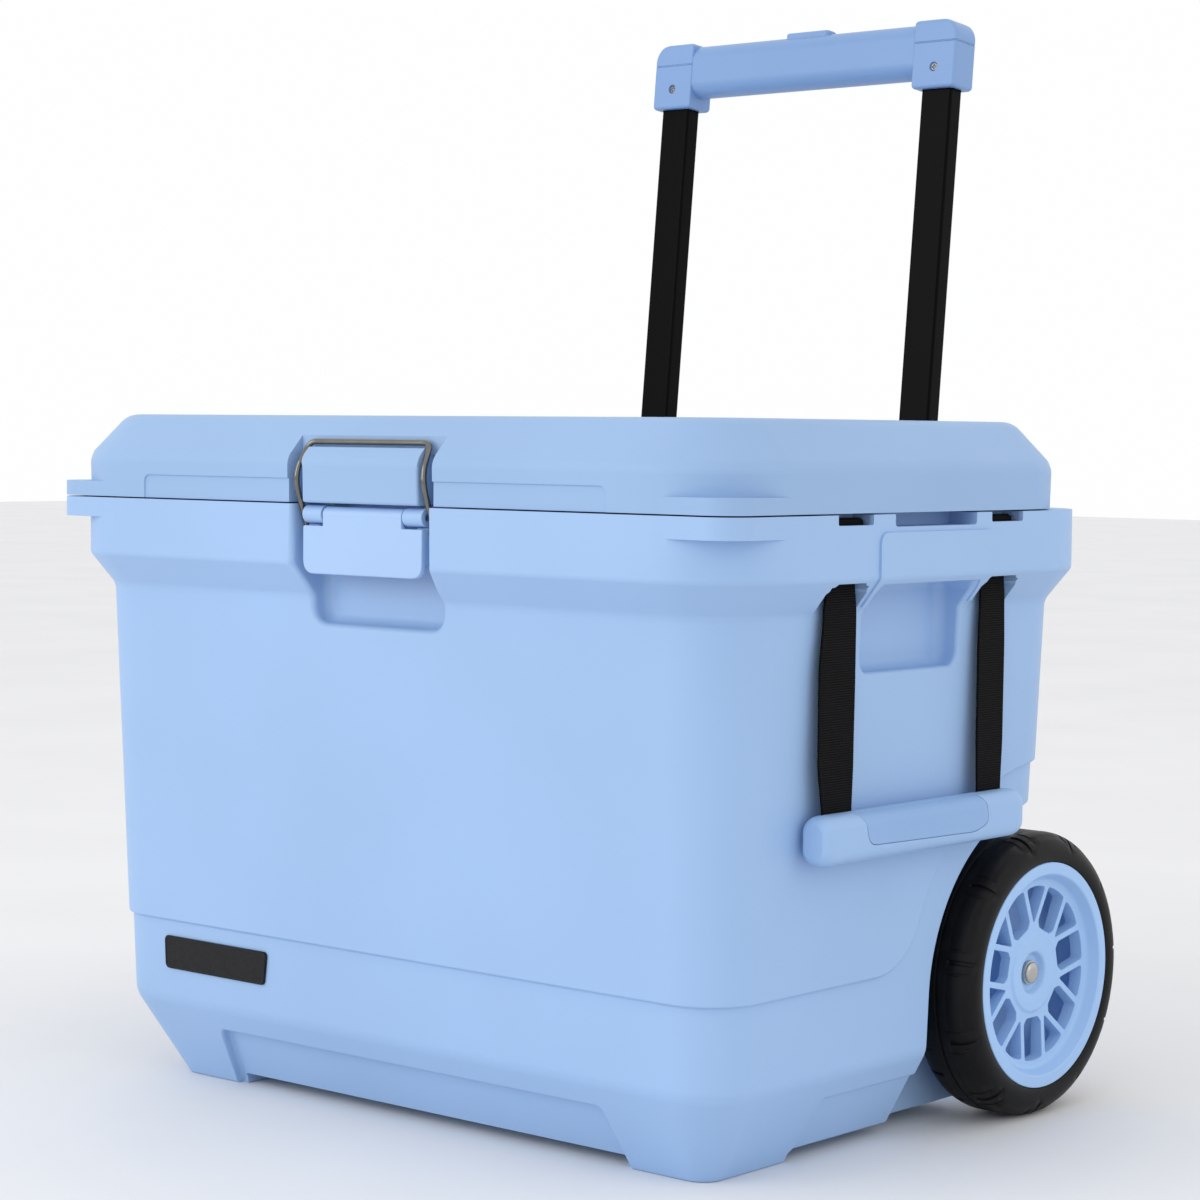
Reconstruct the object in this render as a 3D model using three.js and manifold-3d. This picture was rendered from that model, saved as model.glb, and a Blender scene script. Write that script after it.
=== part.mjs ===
// Wheeled hard cooler, 52 litre class: insulated body and lid, wire bail latch, telescoping
// pull handle at the back, two wheels and a webbing carry handle at each end.
// Units are mm, +Z up, front face towards -Y. The origin is at the middle of the footprint.
import * as THREE from 'three';
import { mergeVertices } from 'three/addons/utils/BufferGeometryUtils.js';
import Module from 'manifold-3d';

const wasm = await Module();
wasm.setup();

// ---------- driving dimensions ----------
const FRONT_Y = -255.82; // front face of the rim; every "depth" below is measured back from it
const HALF_LENGTH = 320; // rim, half of its length
const DEPTH = 431; // rim, front to back
const LID_DEPTH = 403; // the lid stops short of the hinge ledge
const CORNER_R = 66; // plan radius of the rim and lid corners
const TAB_R = 23; // plan radius of the small corner ledges at the seam
const BASE_Z = 8; // underside of the body; the feet and tyres reach z = 0
const RIM_TOP = 431.2;
const LID_BOTTOM = 432.2;
const LID_EDGE_Z = 462.3; // where the lid chamfer starts
const LID_TOP = 492;
const LID_CHAMFER = 27.6;
const SKIN = 4; // outer moulding wall
const LINER = 3; // food liner wall
const GAP = 0.3; // between touching pieces

const WHEEL_DEPTH = 386; // wheel axis, back from the front face
const WHEEL_R = 101;
const RIM_R = 80.3;
const WHEEL_OUT = 305; // outer face of the wheel
const WHEEL_IN = 253;
const WELL_R = 122;
const WELL_IN = 242;
const AXLE_R = 6;

const TUBE_X = 128.5; // handle tubes, centre distance from the middle
const TUBE_DEPTH = 470; // tube axis at the height of the lid top
const LEAN = Math.atan(0.096); // the tubes lean back
const TUBE_W = 27.5;
const TUBE_T = 15;

const LEVER_PIVOT = [9, 424.3]; // depth, z
const BAIL_PIVOT = [12.4, 413.6];
const BAIL_ELBOW = [-1, 451];
const BAIL_BAR = [11, 474];
const BAIL_R = 2.2;
const BAIL_X = 60.8;

const LID_AXIS = [410, 439]; // depth, z
const LID_KNUCKLE_R = 6.3;

const STRAP_DEPTHS = [128, 302];
const STRAP_W = 38;
const STRAP_X = 307.5; // middle of the hanging webbing
const STRAP_T = 1.8;
const STRAP_PIN = [311, 425]; // x, z
const SWING_Z = 385.5;

const DRAIN = [130, 67]; // depth, z on the left end

// ---------- materials ----------
const BLUE = ['#a4c6f0', 0.42, 0];
const HANDLE_BLUE = ['#92b4e4', 0.4, 0];
const LINER_WHITE = ['#e9ecef', 0.35, 0];
const FOAM = ['#efe6c8', 0.9, 0];
const RUBBER = ['#17181a', 0.62, 0];
const WEBBING = ['#131315', 0.85, 0];
const BLACK_TUBE = ['#101113', 0.25, 0.6];
const STEEL = ['#b9bcc0', 0.25, 1];
const BLACK_PLASTIC = ['#1b1c1f', 0.45, 0];

const cooler = new THREE.Group();
cooler.name = 'wheeled_cooler';

// ---------- solids ----------
function solid(geometry) {
  const bare = new THREE.BufferGeometry();
  bare.setAttribute('position', geometry.getAttribute('position'));
  if (geometry.index) bare.setIndex(geometry.index);
  const g = mergeVertices(bare, 1e-4);
  return new wasm.Manifold(new wasm.Mesh({
    numProp: 3,
    vertProperties: new Float32Array(g.getAttribute('position').array),
    triVerts: new Uint32Array(g.index.array),
  }));
}

function cut(base, ...tools) {
  return tools.reduce((a, b) => a.subtract(b), base);
}

function join(base, ...more) {
  return more.reduce((a, b) => a.add(b), base);
}

function add(name, manifold, [color, roughness, metalness]) {
  const out = manifold.getMesh();
  const stride = out.numProp;
  const xyz = new Float32Array(out.triVerts.length * 3);
  out.triVerts.forEach((v, i) => {
    for (let k = 0; k < 3; k += 1) xyz[3 * i + k] = out.vertProperties[v * stride + k];
  });
  const soup = new THREE.BufferGeometry();
  soup.setAttribute('position', new THREE.BufferAttribute(xyz, 3));
  const geometry = mergeVertices(soup, 1e-4);
  geometry.computeVertexNormals();
  const mesh = new THREE.Mesh(geometry, new THREE.MeshStandardMaterial({ color, roughness, metalness }));
  mesh.name = name;
  cooler.add(mesh);
}

// A box given by its limits, with depth measured back from the front face.
function box(x0, x1, d0, d1, z0, z1) {
  const g = new THREE.BoxGeometry(x1 - x0, d1 - d0, z1 - z0);
  g.translate((x0 + x1) / 2, FRONT_Y + (d0 + d1) / 2, (z0 + z1) / 2);
  return solid(g);
}

// Plan outline with one radius for the front corners and one for the back corners.
function plan(x0, x1, d0, d1, rFront, rBack, steps = 5) {
  const corners = [
    [x1 - rFront, d0 + rFront, rFront, -90],
    [x1 - rBack, d1 - rBack, rBack, 0],
    [x0 + rBack, d1 - rBack, rBack, 90],
    [x0 + rFront, d0 + rFront, rFront, 180],
  ];
  return corners.flatMap(([cx, cy, r, start]) => Array.from({ length: steps + 1 }, (_, i) => {
    const a = THREE.MathUtils.degToRad(start + (90 * i) / steps);
    return new THREE.Vector2(cx + r * Math.cos(a), FRONT_Y + cy + r * Math.sin(a));
  }));
}

// Skins between plan outlines at rising heights, closed top and bottom.
function loft(rings) {
  const n = rings[0].outline.length;
  const points = rings.flatMap(({ outline, z }) => outline.flatMap((p) => [p.x, p.y, z]));
  const faces = [];
  for (let k = 0; k + 1 < rings.length; k += 1) {
    for (let i = 0; i < n; i += 1) {
      const a = k * n + i;
      const b = k * n + ((i + 1) % n);
      faces.push(a, b, b + n, a, b + n, a + n);
    }
  }
  const bottom = THREE.ShapeUtils.triangulateShape(rings[0].outline, []);
  bottom.forEach(([a, b, c]) => faces.push(a, c, b));
  const last = (rings.length - 1) * n;
  const top = THREE.ShapeUtils.triangulateShape(rings[rings.length - 1].outline, []);
  top.forEach(([a, b, c]) => faces.push(last + a, last + b, last + c));
  const g = new THREE.BufferGeometry();
  g.setAttribute('position', new THREE.BufferAttribute(new Float32Array(points), 3));
  g.setIndex(faces);
  return solid(g);
}

function cylinderX(x0, x1, depth, z, r, segments = 20) {
  const g = new THREE.CylinderGeometry(r, r, x1 - x0, segments);
  g.rotateZ(Math.PI / 2);
  g.translate((x0 + x1) / 2, FRONT_Y + depth, z);
  return solid(g);
}

function cylinderY(d0, d1, x, z, r, segments = 16) {
  const g = new THREE.CylinderGeometry(r, r, d1 - d0, segments);
  g.translate(x, FRONT_Y + (d0 + d1) / 2, z);
  return solid(g);
}

// A depth-z outline pushed along X.
function profileX(x0, x1, points) {
  const shape = new THREE.Shape(points.map(([d, z]) => new THREE.Vector2(d, z)));
  const g = new THREE.ExtrudeGeometry(shape, { depth: x1 - x0, bevelEnabled: false });
  g.rotateX(Math.PI / 2);
  g.rotateZ(Math.PI / 2);
  g.translate(x0, FRONT_Y, 0);
  return solid(g);
}

// An x-z outline pushed back along +Y.
function profileY(d0, d1, shape, curveSegments = 6) {
  const g = new THREE.ExtrudeGeometry(shape, { depth: d1 - d0, bevelEnabled: false, curveSegments });
  g.rotateX(Math.PI / 2);
  g.translate(0, FRONT_Y + d1, 0);
  return solid(g);
}

function roundedShape(x0, x1, y0, y1, r) {
  const s = new THREE.Shape();
  s.moveTo(x0 + r, y0);
  s.lineTo(x1 - r, y0);
  s.absarc(x1 - r, y0 + r, r, -Math.PI / 2, 0);
  s.lineTo(x1, y1 - r);
  s.absarc(x1 - r, y1 - r, r, 0, Math.PI / 2);
  s.lineTo(x0 + r, y1);
  s.absarc(x0 + r, y1 - r, r, Math.PI / 2, Math.PI);
  s.lineTo(x0, y0 + r);
  s.absarc(x0 + r, y0 + r, r, Math.PI, 1.5 * Math.PI);
  return s;
}

// The same piece on the other end of the cooler.
const mirrored = (m) => m.mirror([1, 0, 0]);
const onBoth = (m) => join(m, mirrored(m));
const SIDES = [['left', mirrored], ['right', (m) => m]];

// ---------- body ----------
// Height, inset from the rim and plan radius, from the underside up to the rim.
const BODY_RINGS = [
  [BASE_Z, 63, 18],
  [62, 33, 36],
  [119, 30.5, 38],
  [124, 27.5, 41],
  [367, 18.2, 48],
  [390, 0, CORNER_R],
  [RIM_TOP, 0, CORNER_R],
];

function bodyLoft(extra, z0, z1, rings = BODY_RINGS) {
  const at = (z) => {
    const k = Math.max(1, rings.findIndex((r) => r[0] >= z - 1e-6));
    const [a, b] = [rings[k - 1], rings[k]];
    const t = (z - a[0]) / (b[0] - a[0]);
    return [z, a[1] + t * (b[1] - a[1]), a[2] + t * (b[2] - a[2])];
  };
  const inner = rings.filter((r) => r[0] > z0 + 0.5 && r[0] < z1 - 0.5);
  return loft([at(z0), ...inner, at(z1)].map(([z, inset, r]) => {
    const d = inset + extra;
    const radius = Math.max(6, r - extra);
    return { z, outline: plan(d - HALF_LENGTH, HALF_LENGTH - d, d, DEPTH - d, radius, radius) };
  }));
}

// Wheel wells, open downwards and to the back. grow makes the same shape larger all round.
function wheelWells(grow) {
  const r = WELL_R + grow;
  const x = WELL_IN - grow;
  const round = cylinderX(x, 340, WHEEL_DEPTH, WHEEL_R, r, 32);
  const back = box(x, 340, WHEEL_DEPTH, 520, WHEEL_R, WHEEL_R + r * 0.999);
  const low = box(x, 340, WHEEL_DEPTH - r * 0.999, 520, -20, WHEEL_R);
  return onBoth(join(round, back, low));
}

function latchPocket(grow) {
  const s = new THREE.Shape();
  const [top, side, wall, floor, r] = [440, 68 + grow, 62.5 + grow, 344 - grow, 13];
  s.moveTo(-side, top);
  s.lineTo(-side + 0.8, 392);
  s.lineTo(-wall, 368);
  s.lineTo(-wall, floor + r);
  s.absarc(-wall + r, floor + r, r, Math.PI, 1.5 * Math.PI);
  s.lineTo(wall - r, floor);
  s.absarc(wall - r, floor + r, r, -Math.PI / 2, 0);
  s.lineTo(wall, 368);
  s.lineTo(side - 0.8, 392);
  s.lineTo(side, top);
  return profileY(-20, 33 + grow, s);
}

const fingerPocketShape = (grow) => roundedShape(166 - grow, 275 + grow, 324.5 - grow, 386, 9);

function sidePocket(grow) {
  const shape = fingerPocketShape(grow);
  const g = new THREE.ExtrudeGeometry(shape, { depth: 60, bevelEnabled: false, curveSegments: 4 });
  g.rotateX(Math.PI / 2);
  g.rotateZ(Math.PI / 2);
  g.translate(285 - grow, FRONT_Y, 0);
  return onBoth(solid(g));
}

// Channels that take the webbing up inside the rim, open at the chamfer and at the top.
function strapChannels(grow) {
  const pieces = STRAP_DEPTHS.map((d) => join(
    box(302 - grow, 317 + grow, d - 22 - grow, d + 22 + grow, 366 - grow, 433),
    box(312, 330, d - 19, d + 19, 424.5, 433),
  ));
  return onBoth(join(...pieces));
}

function cornerTabs(z0, z1) {
  const shape = plan(-HALF_LENGTH, HALF_LENGTH, 0, 120, TAB_R, 10);
  const full = loft([{ outline: shape, z: z0 }, { outline: shape, z: z1 }]);
  const middle = box(-HALF_LENGTH + 62, HALF_LENGTH - 62, -5, 200, z0 - 1, z1 + 1);
  const back = box(-400, 400, 62, 200, z0 - 1, z1 + 1);
  const inner = loft([
    { outline: plan(-305, 305, 15, 130, 45, 10), z: z0 - 1 },
    { outline: plan(-305, 305, 15, 130, 45, 10), z: z1 + 1 },
  ]);
  return cut(full, middle, back, inner);
}

const FOOT_RINGS = [[0, 67.5, 14], [62, 33, 36]];
const feet = cut(
  bodyLoft(0, 0, 40, FOOT_RINGS),
  box(-183, 183, -10, 500, -5, 60),
  box(-400, 400, 150, 500, -5, 60),
);

// Shallow panel between the front feet, and a shorter one low on each end.
const frontRecess = profileX(-183, 183, [[20, 44], [50, 44], [71, 5], [71, -5], [20, -5]]);
const endOutline = [[274.5, 45], [330, 45], [330, 3], [251, 3]];
const endShape = new THREE.Shape(endOutline.map(([x, z]) => new THREE.Vector2(x, z)));
const endRecess = onBoth(profileY(150, 268, endShape));

// The wall steps in below a belt line, which climbs over each wheel as an arch.
const archBand = onBoth(cylinderX(HALF_LENGTH - 27.4, 360, WHEEL_DEPTH, WHEEL_R, 152, 40));
const belowBelt = cut(archBand, box(-400, 400, -10, 600, -60, 122));

const drainHole = (r) => cylinderX(-320, -200, DRAIN[0], DRAIN[1], r);
// The liner ends the drain in a strainer of seven small holes.
const STRAINER = [[0, 0], ...[0, 60, 120, 180, 240, 300].map((deg) => {
  const a = THREE.MathUtils.degToRad(deg);
  return [5.2 * Math.cos(a), 5.2 * Math.sin(a)];
})];
const strainer = join(...STRAINER.map(
  ([d, z]) => cylinderX(-320, -200, DRAIN[0] + d, DRAIN[1] + z, 1.5, 12),
));
const axleHole = (r) => cylinderX(-300, 300, WHEEL_DEPTH, WHEEL_R, r);

const recessBack = (grow) => profileX(-187 - grow, 187 + grow, [
  [0, 48 + grow], [54.4 + grow, 48 + grow], [76 + grow, 4], [0, 4],
]);

const LEDGE = 392; // the hinge ledge behind the lid opening starts here
const cavity = cut(
  bodyLoft(SKIN, BASE_Z + SKIN, RIM_TOP),
  box(-400, 400, LEDGE, 450, RIM_TOP - SKIN, 440),
  wheelWells(SKIN),
  latchPocket(SKIN),
  sidePocket(SKIN),
  strapChannels(SKIN),
  box(HALF_LENGTH - 28 - SKIN, 340, 167, 269, 419, 440),
  box(-340, SKIN + 28 - HALF_LENGTH, 167, 269, 419, 440),
  recessBack(0),
);

const knuckleWeb = (x0, x1) => box(x0, x1, LEVER_PIVOT[0], 36, 421.5, 427.6);
const latchKnuckles = onBoth(join(
  cylinderX(38.6, 57, LEVER_PIVOT[0], LEVER_PIVOT[1], 6.2, 20),
  knuckleWeb(38.6, 57),
));

function lidKnuckle(x0, x1, towards) {
  const web = towards < 0
    ? box(x0, x1, 398, LID_AXIS[0], LID_AXIS[1] - 4.6, LID_AXIS[1] + 5.6)
    : box(x0, x1, LID_AXIS[0] - 3, LID_AXIS[0] + LID_KNUCKLE_R, 428, LID_AXIS[1]);
  return join(cylinderX(x0, x1, LID_AXIS[0], LID_AXIS[1], LID_KNUCKLE_R, 20), web);
}
const bodyLidKnuckles = onBoth(join(lidKnuckle(172, 189, 1), lidKnuckle(225, 242, 1)));
const hingePinHole = onBoth(cylinderX(170, 244, LID_AXIS[0], LID_AXIS[1], 2.58, 16));

const endPanel = onBoth(profileY(154, 278, roundedShape(310, 321.6, 386.5, 420, 1)));

let shell = join(bodyLoft(0, BASE_Z, RIM_TOP), feet, cornerTabs(417, RIM_TOP), endPanel);
shell = cut(
  shell,
  wheelWells(0),
  latchPocket(0),
  sidePocket(0),
  strapChannels(0),
  frontRecess,
  endRecess,
  belowBelt,
  box(HALF_LENGTH - 24, 340, 171, 265, 423, 440),
  box(-340, 24 - HALF_LENGTH, 171, 265, 423, 440),
  cavity,
);
shell = join(shell, latchKnuckles, bodyLidKnuckles);
shell = cut(
  shell,
  cylinderX(-60, 60, LEVER_PIVOT[0], LEVER_PIVOT[1], 2.05, 16),
  hingePinHole,
  drainHole(10.3),
  axleHole(6.3),
);
shell = cut(shell, ...[1, -1].flatMap((s) => STRAP_DEPTHS.map((d) => cylinderY(
  d - 25, d + 25, s * STRAP_PIN[0], STRAP_PIN[1], 2.55,
))));
add('body_shell', shell, BLUE);

// Liner: a deep tub that steps in over the wheel wells, with a flange on the rim.
function linerTub(grow, z0, z1) {
  const rings = [[z0, 16], [z1, 0]].map(([z, lean]) => ({
    z,
    outline: plan(
      -268 + lean - grow, 268 - lean + grow,
      52 + lean * 0.5 - grow, 366 - lean * 0.6 + grow,
      30 + grow, 30 + grow,
    ),
  }));
  return loft(rings);
}
const TUB_FLOOR = 47;
const flange = (grow, z0, z1) => {
  const o = plan(-296 - grow, 296 + grow, 24 - grow, LEDGE - GAP, 40, 4);
  return loft([{ outline: o, z: z0 }, { outline: o, z: z1 }]);
};
const flangeNotches = (grow) => join(
  box(-76 - grow, 76 + grow, 0, 42 + grow, 400, 440),
  onBoth(join(...STRAP_DEPTHS.map((d) => box(293, 330, d - 30, d + 30, 400, 440)))),
  onBoth(box(288 - grow, 330, 163 - grow, 273 + grow, 400, 440)),
);
const linerWells = (r, x) => onBoth(join(
  cylinderX(x, 340, WHEEL_DEPTH, WHEEL_R, r, 40),
  box(x, 340, WHEEL_DEPTH - r * 0.999, 500, -20, WHEEL_R),
  box(x, 340, WHEEL_DEPTH, 500, WHEEL_R, WHEEL_R + r * 0.999),
));
const tubOuter = cut(linerTub(LINER, TUB_FLOOR - LINER, 430), linerWells(WELL_R + 22, WELL_IN - 20));
const tubInner = cut(linerTub(0, TUB_FLOOR, 440), linerWells(WELL_R + 25, WELL_IN - 23));
const flangePlate = cut(flange(0, 427.2, 430.9), flangeNotches(0));
add('body_liner', cut(join(tubOuter, flangePlate), tubInner, strainer), LINER_WHITE);

const tubClear = cut(
  linerTub(LINER + GAP, TUB_FLOOR - LINER - GAP, 430),
  linerWells(WELL_R + 21.7, WELL_IN - 19.7),
);
const foamBlock = cut(
  bodyLoft(SKIN + GAP, BASE_Z + SKIN + GAP, 426.9),
  wheelWells(SKIN + GAP),
  latchPocket(SKIN + GAP),
  sidePocket(SKIN + GAP),
  strapChannels(SKIN + GAP),
  box(HALF_LENGTH - 28.3 - SKIN, 340, 166.7, 269.3, 418.7, 440),
  box(-340, SKIN + 28.3 - HALF_LENGTH, 166.7, 269.3, 418.7, 440),
  recessBack(GAP),
  tubClear,
  drainHole(10.6),
  axleHole(7),
);
add('body_foam', foamBlock, FOAM);

// Drain plug on the left end, pushed in from outside, with its seal.
const drainX = -(HALF_LENGTH - 31.6);
const plug = join(
  cylinderX(drainX - 6.5, drainX - 1.9, DRAIN[0], DRAIN[1], 16, 36),
  cylinderX(drainX - 2.5, -256.9, DRAIN[0], DRAIN[1], 9.4, 28),
  box(drainX - 11, drainX - 6, DRAIN[0] - 2, DRAIN[0] + 2, DRAIN[1] - 11, DRAIN[1] + 11),
);
add('drain_plug', plug, BLACK_PLASTIC);
const seal = cut(
  cylinderX(drainX - 1.6, drainX - 0.4, DRAIN[0], DRAIN[1], 13.4, 32),
  cylinderX(drainX - 5, drainX + 5, DRAIN[0], DRAIN[1], 9.8, 28),
);
add('drain_seal', seal, RUBBER);

// Plain name plate, leaning with the wall.
const plate = new THREE.Shape();
plate.moveTo(-51, -12.2);
plate.lineTo(47.5, -12.2);
plate.quadraticCurveTo(50.8, -12.2, 51.3, -9.4);
plate.lineTo(54.2, 9);
plate.quadraticCurveTo(54.6, 12.2, 51, 12.2);
plate.lineTo(-51, 12.2);
plate.quadraticCurveTo(-54.5, 12.2, -54.5, 8.6);
plate.lineTo(-54.5, -8.6);
plate.quadraticCurveTo(-54.5, -12.2, -51, -12.2);
const badge = new THREE.ExtrudeGeometry(plate, { depth: 1.6, bevelEnabled: false, curveSegments: 4 });
badge.rotateX(Math.PI / 2 + 0.044);
badge.translate(-174.5, FRONT_Y + 31.05, 98);
add('badge', solid(badge), BLACK_PLASTIC);

add('latch_pin', cylinderX(-54, 54, LEVER_PIVOT[0], LEVER_PIVOT[1], 2, 16), STEEL);
SIDES.forEach(([side, place]) => {
  add(`lid_hinge_pin_${side}`, place(cylinderX(173, 241, LID_AXIS[0], LID_AXIS[1], 2.5, 16)), STEEL);
});

// ---------- lid ----------
const LID_RINGS = [
  [LID_BOTTOM, 0.8, CORNER_R - 0.8],
  [LID_EDGE_Z, 0, CORNER_R],
  [LID_TOP - 2.4, LID_CHAMFER - 2, 41],
  [LID_TOP, LID_CHAMFER + 2.4, 37],
];

function lidLoft(extra, rings) {
  return loft(rings.map(([z, inset, r]) => {
    const d = inset + extra;
    const radius = Math.max(r - extra, 5);
    return { z, outline: plan(d - HALF_LENGTH, HALF_LENGTH - d, d, LID_DEPTH - d, radius, radius) };
  }));
}

// Recess for the bail bar over the keeper, and the two channels beside it.
function keeperCuts(grow) {
  const back = 14.4 + grow;
  const top = profileX(-69 - grow, 69 + grow, [
    [-20, 458 - grow], [-0.2, 459.5 - grow], [1.2, 462.8 - grow], [7, 469.6 - grow],
    [back, 471 - grow], [back, 520], [-20, 520],
  ]);
  const channels = onBoth(box(55.2 - grow, 69 + grow, -20, 17.5 + grow, 420, 466));
  const passes = onBoth(box(55.2 - grow, 69 + grow, -20, back, 460, 474));
  return join(top, channels, passes);
}
const lidGroove = onBoth(profileY(-10, 1.8, roundedShape(60, 219, 425, 448.5, 5)));

const lidCavityRings = [
  [LID_BOTTOM - 2, 0.8, CORNER_R],
  [LID_EDGE_Z - 1.6, 0, CORNER_R],
  [LID_TOP - SKIN, LID_CHAMFER - 3.5, 40],
];
const lidCavity = cut(lidLoft(SKIN, lidCavityRings), keeperCuts(SKIN));
const lidLugs = onBoth(lidKnuckle(189.5, 224.5, -1));
const lid = cut(
  join(lidLoft(0, LID_RINGS), cornerTabs(LID_BOTTOM, 443), lidLugs),
  keeperCuts(0),
  lidGroove,
  lidCavity,
  hingePinHole,
);
add('lid_shell', lid, BLUE);

const lidFoamRings = [
  [438.5, 0.5, CORNER_R],
  [LID_EDGE_Z - 1.6, 0, CORNER_R],
  [LID_TOP - SKIN - GAP, LID_CHAMFER - 3.7, 40],
];
add('lid_foam', cut(lidLoft(SKIN + GAP, lidFoamRings), keeperCuts(SKIN + GAP)), FOAM);

const lidPlate = lidLoft(SKIN + GAP, [[LID_BOTTOM + 0.1, 0.8, CORNER_R], [438.2, 0.7, CORNER_R]]);
const lidPlug = loft([
  { outline: plan(-262, 262, 58, 360, 26, 26), z: 421 },
  { outline: plan(-264, 264, 56, 362, 28, 28), z: 434 },
]);
const lidDish = loft([
  { outline: plan(-250, 250, 70, 348, 20, 20), z: 419 },
  { outline: plan(-246, 246, 74, 344, 18, 18), z: 426.5 },
]);
const gasketRing = (a, z0, z1) => {
  const rings = (g, lo, hi) => loft([
    { outline: plan(-276 - g, 276 + g, 44 - g, 374 + g, 38 + g, 38 + g), z: lo },
    { outline: plan(-276 - g, 276 + g, 44 - g, 374 + g, 38 + g, 38 + g), z: hi },
  ]);
  return cut(rings(a, z0, z1), rings(-a, z0 - 1, z1 + 1));
};
const lidLiner = cut(join(lidPlate, lidPlug), keeperCuts(SKIN + GAP), lidDish, gasketRing(3.3, 425, 436));
add('lid_liner', lidLiner, LINER_WHITE);
add('lid_gasket', gasketRing(3, 431.4, 435.7), RUBBER);

// ---------- latch ----------
const [leverDepth, leverZ] = LEVER_PIVOT;
const leverFace = leverDepth - 5.6;
const leverOutline = new THREE.Shape();
leverOutline.moveTo(-49, 383.5);
leverOutline.lineTo(49, 383.5);
leverOutline.absarc(49, 391.5, 8, -Math.PI / 2, 0);
leverOutline.lineTo(57, 416.6);
leverOutline.lineTo(37.6, 416.6);
leverOutline.lineTo(37.6, leverZ);
leverOutline.lineTo(-37.6, leverZ);
leverOutline.lineTo(-37.6, 416.6);
leverOutline.lineTo(-57, 416.6);
leverOutline.lineTo(-57, 391.5);
leverOutline.absarc(-49, 391.5, 8, Math.PI, 1.5 * Math.PI);
const leverEar = join(
  cylinderX(46.5, 57, BAIL_PIVOT[0], BAIL_PIVOT[1], 4.4, 16),
  box(46.5, 57, leverFace + 2, BAIL_PIVOT[0], BAIL_PIVOT[1] - 4.4, 416.6),
);
const earSide = box(53.5, 57, leverFace + 2, 11, 393, 412);
const lever = cut(
  join(
    profileY(leverFace, leverFace + 4, leverOutline),
    cylinderX(-37.6, 37.6, leverDepth, leverZ, 5.6, 20),
    onBoth(leverEar),
    onBoth(earSide),
  ),
  cylinderX(-60, 60, leverDepth, leverZ, 2.08, 16),
  onBoth(cylinderX(46, 60, BAIL_PIVOT[0], BAIL_PIVOT[1], BAIL_R + 0.12, 16)),
);
add('latch_lever', lever, BLUE);

// One bent wire: in at each lever ear, out round an elbow and across the keeper.
function bend(path, corner, before, after, r) {
  const a = before.clone().sub(corner).normalize().multiplyScalar(r).add(corner);
  const b = after.clone().sub(corner).normalize().multiplyScalar(r).add(corner);
  path.add(new THREE.QuadraticBezierCurve3(a, corner, b));
  return [a, b];
}
const at = (x, [d, z]) => new THREE.Vector3(x, FRONT_Y + d, z);
const bailCorners = [
  at(-47, BAIL_PIVOT), at(-BAIL_X, BAIL_PIVOT), at(-BAIL_X, BAIL_ELBOW), at(-57.5, BAIL_BAR),
  at(57.5, BAIL_BAR), at(BAIL_X, BAIL_ELBOW), at(BAIL_X, BAIL_PIVOT), at(47, BAIL_PIVOT),
];
const bailRadii = [0, 3.2, 9, 7, 7, 9, 3.2, 0];
const wire = new THREE.CurvePath();
let from = bailCorners[0];
for (let i = 1; i < bailCorners.length - 1; i += 1) {
  const bends = new THREE.CurvePath();
  const [a, b] = bend(bends, bailCorners[i], bailCorners[i - 1], bailCorners[i + 1], bailRadii[i]);
  wire.add(new THREE.LineCurve3(from, a));
  wire.add(bends.curves[0]);
  from = b;
}
wire.add(new THREE.LineCurve3(from, bailCorners[bailCorners.length - 1]));

class WirePath extends THREE.Curve {
  getPoint(t) {
    const steps = wire.curves.flatMap((c) => (c.isLineCurve3 ? [c.v1] : c.getPoints(4).slice(0, 4)));
    steps.push(bailCorners[bailCorners.length - 1]);
    const f = t * (steps.length - 1);
    const i = Math.min(Math.floor(f), steps.length - 2);
    return steps[i].clone().lerp(steps[i + 1], f - i);
  }

  getPointAt(t) {
    return this.getPoint(t);
  }

  get count() {
    return wire.curves.reduce((n, c) => n + (c.isLineCurve3 ? 1 : 4), 0);
  }
}
const wirePath = new WirePath();
const wireSection = new THREE.Shape();
wireSection.absarc(0, 0, BAIL_R, 0, 2 * Math.PI);
const bail = new THREE.ExtrudeGeometry(wireSection, {
  steps: wirePath.count, extrudePath: wirePath, curveSegments: 5, bevelEnabled: false,
});
add('latch_bail', solid(bail), STEEL);

// ---------- pull handle ----------
// Pieces are drawn about an upright tube axis (u across, v back, w up from the lid top height),
// then leaned back.
const lean = new THREE.Matrix4()
  .makeTranslation(0, FRONT_Y + TUBE_DEPTH, LID_TOP)
  .multiply(new THREE.Matrix4().makeRotationX(-LEAN));
const leaned = (g) => solid(g.clone().applyMatrix4(lean));

function post(cx, w, t, r, w0, w1) {
  const shape = roundedShape(cx - w / 2, cx + w / 2, -t / 2, t / 2, r);
  const g = new THREE.ExtrudeGeometry(shape, { depth: w1 - w0, bevelEnabled: false, curveSegments: 3 });
  g.translate(0, 0, w0);
  return leaned(g);
}

const GRIP_TOP = 306.5;
const ELBOW_FOOT = 254;
const BAR_FOOT = 263;
const TUBE_FOOT = -120;
const SLEEVE_TOP = -52;
const SLEEVE_FOOT = -432;
const PIN_W = -108; // lock pins, above the foot of the inner tubes
const TRAVEL = 290; // how far the grip slides down

// Section of the bar across its length: a tall rounded oval.
function barSection(x0, x1, half, w0, w1, r) {
  const shape = roundedShape(-half, half, w0, w1, r);
  const g = new THREE.ExtrudeGeometry(shape, { depth: x1 - x0, bevelEnabled: false, curveSegments: 3 });
  g.rotateX(Math.PI / 2);
  g.rotateZ(Math.PI / 2);
  g.translate(x0, 0, 0);
  return leaned(g);
}

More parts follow.
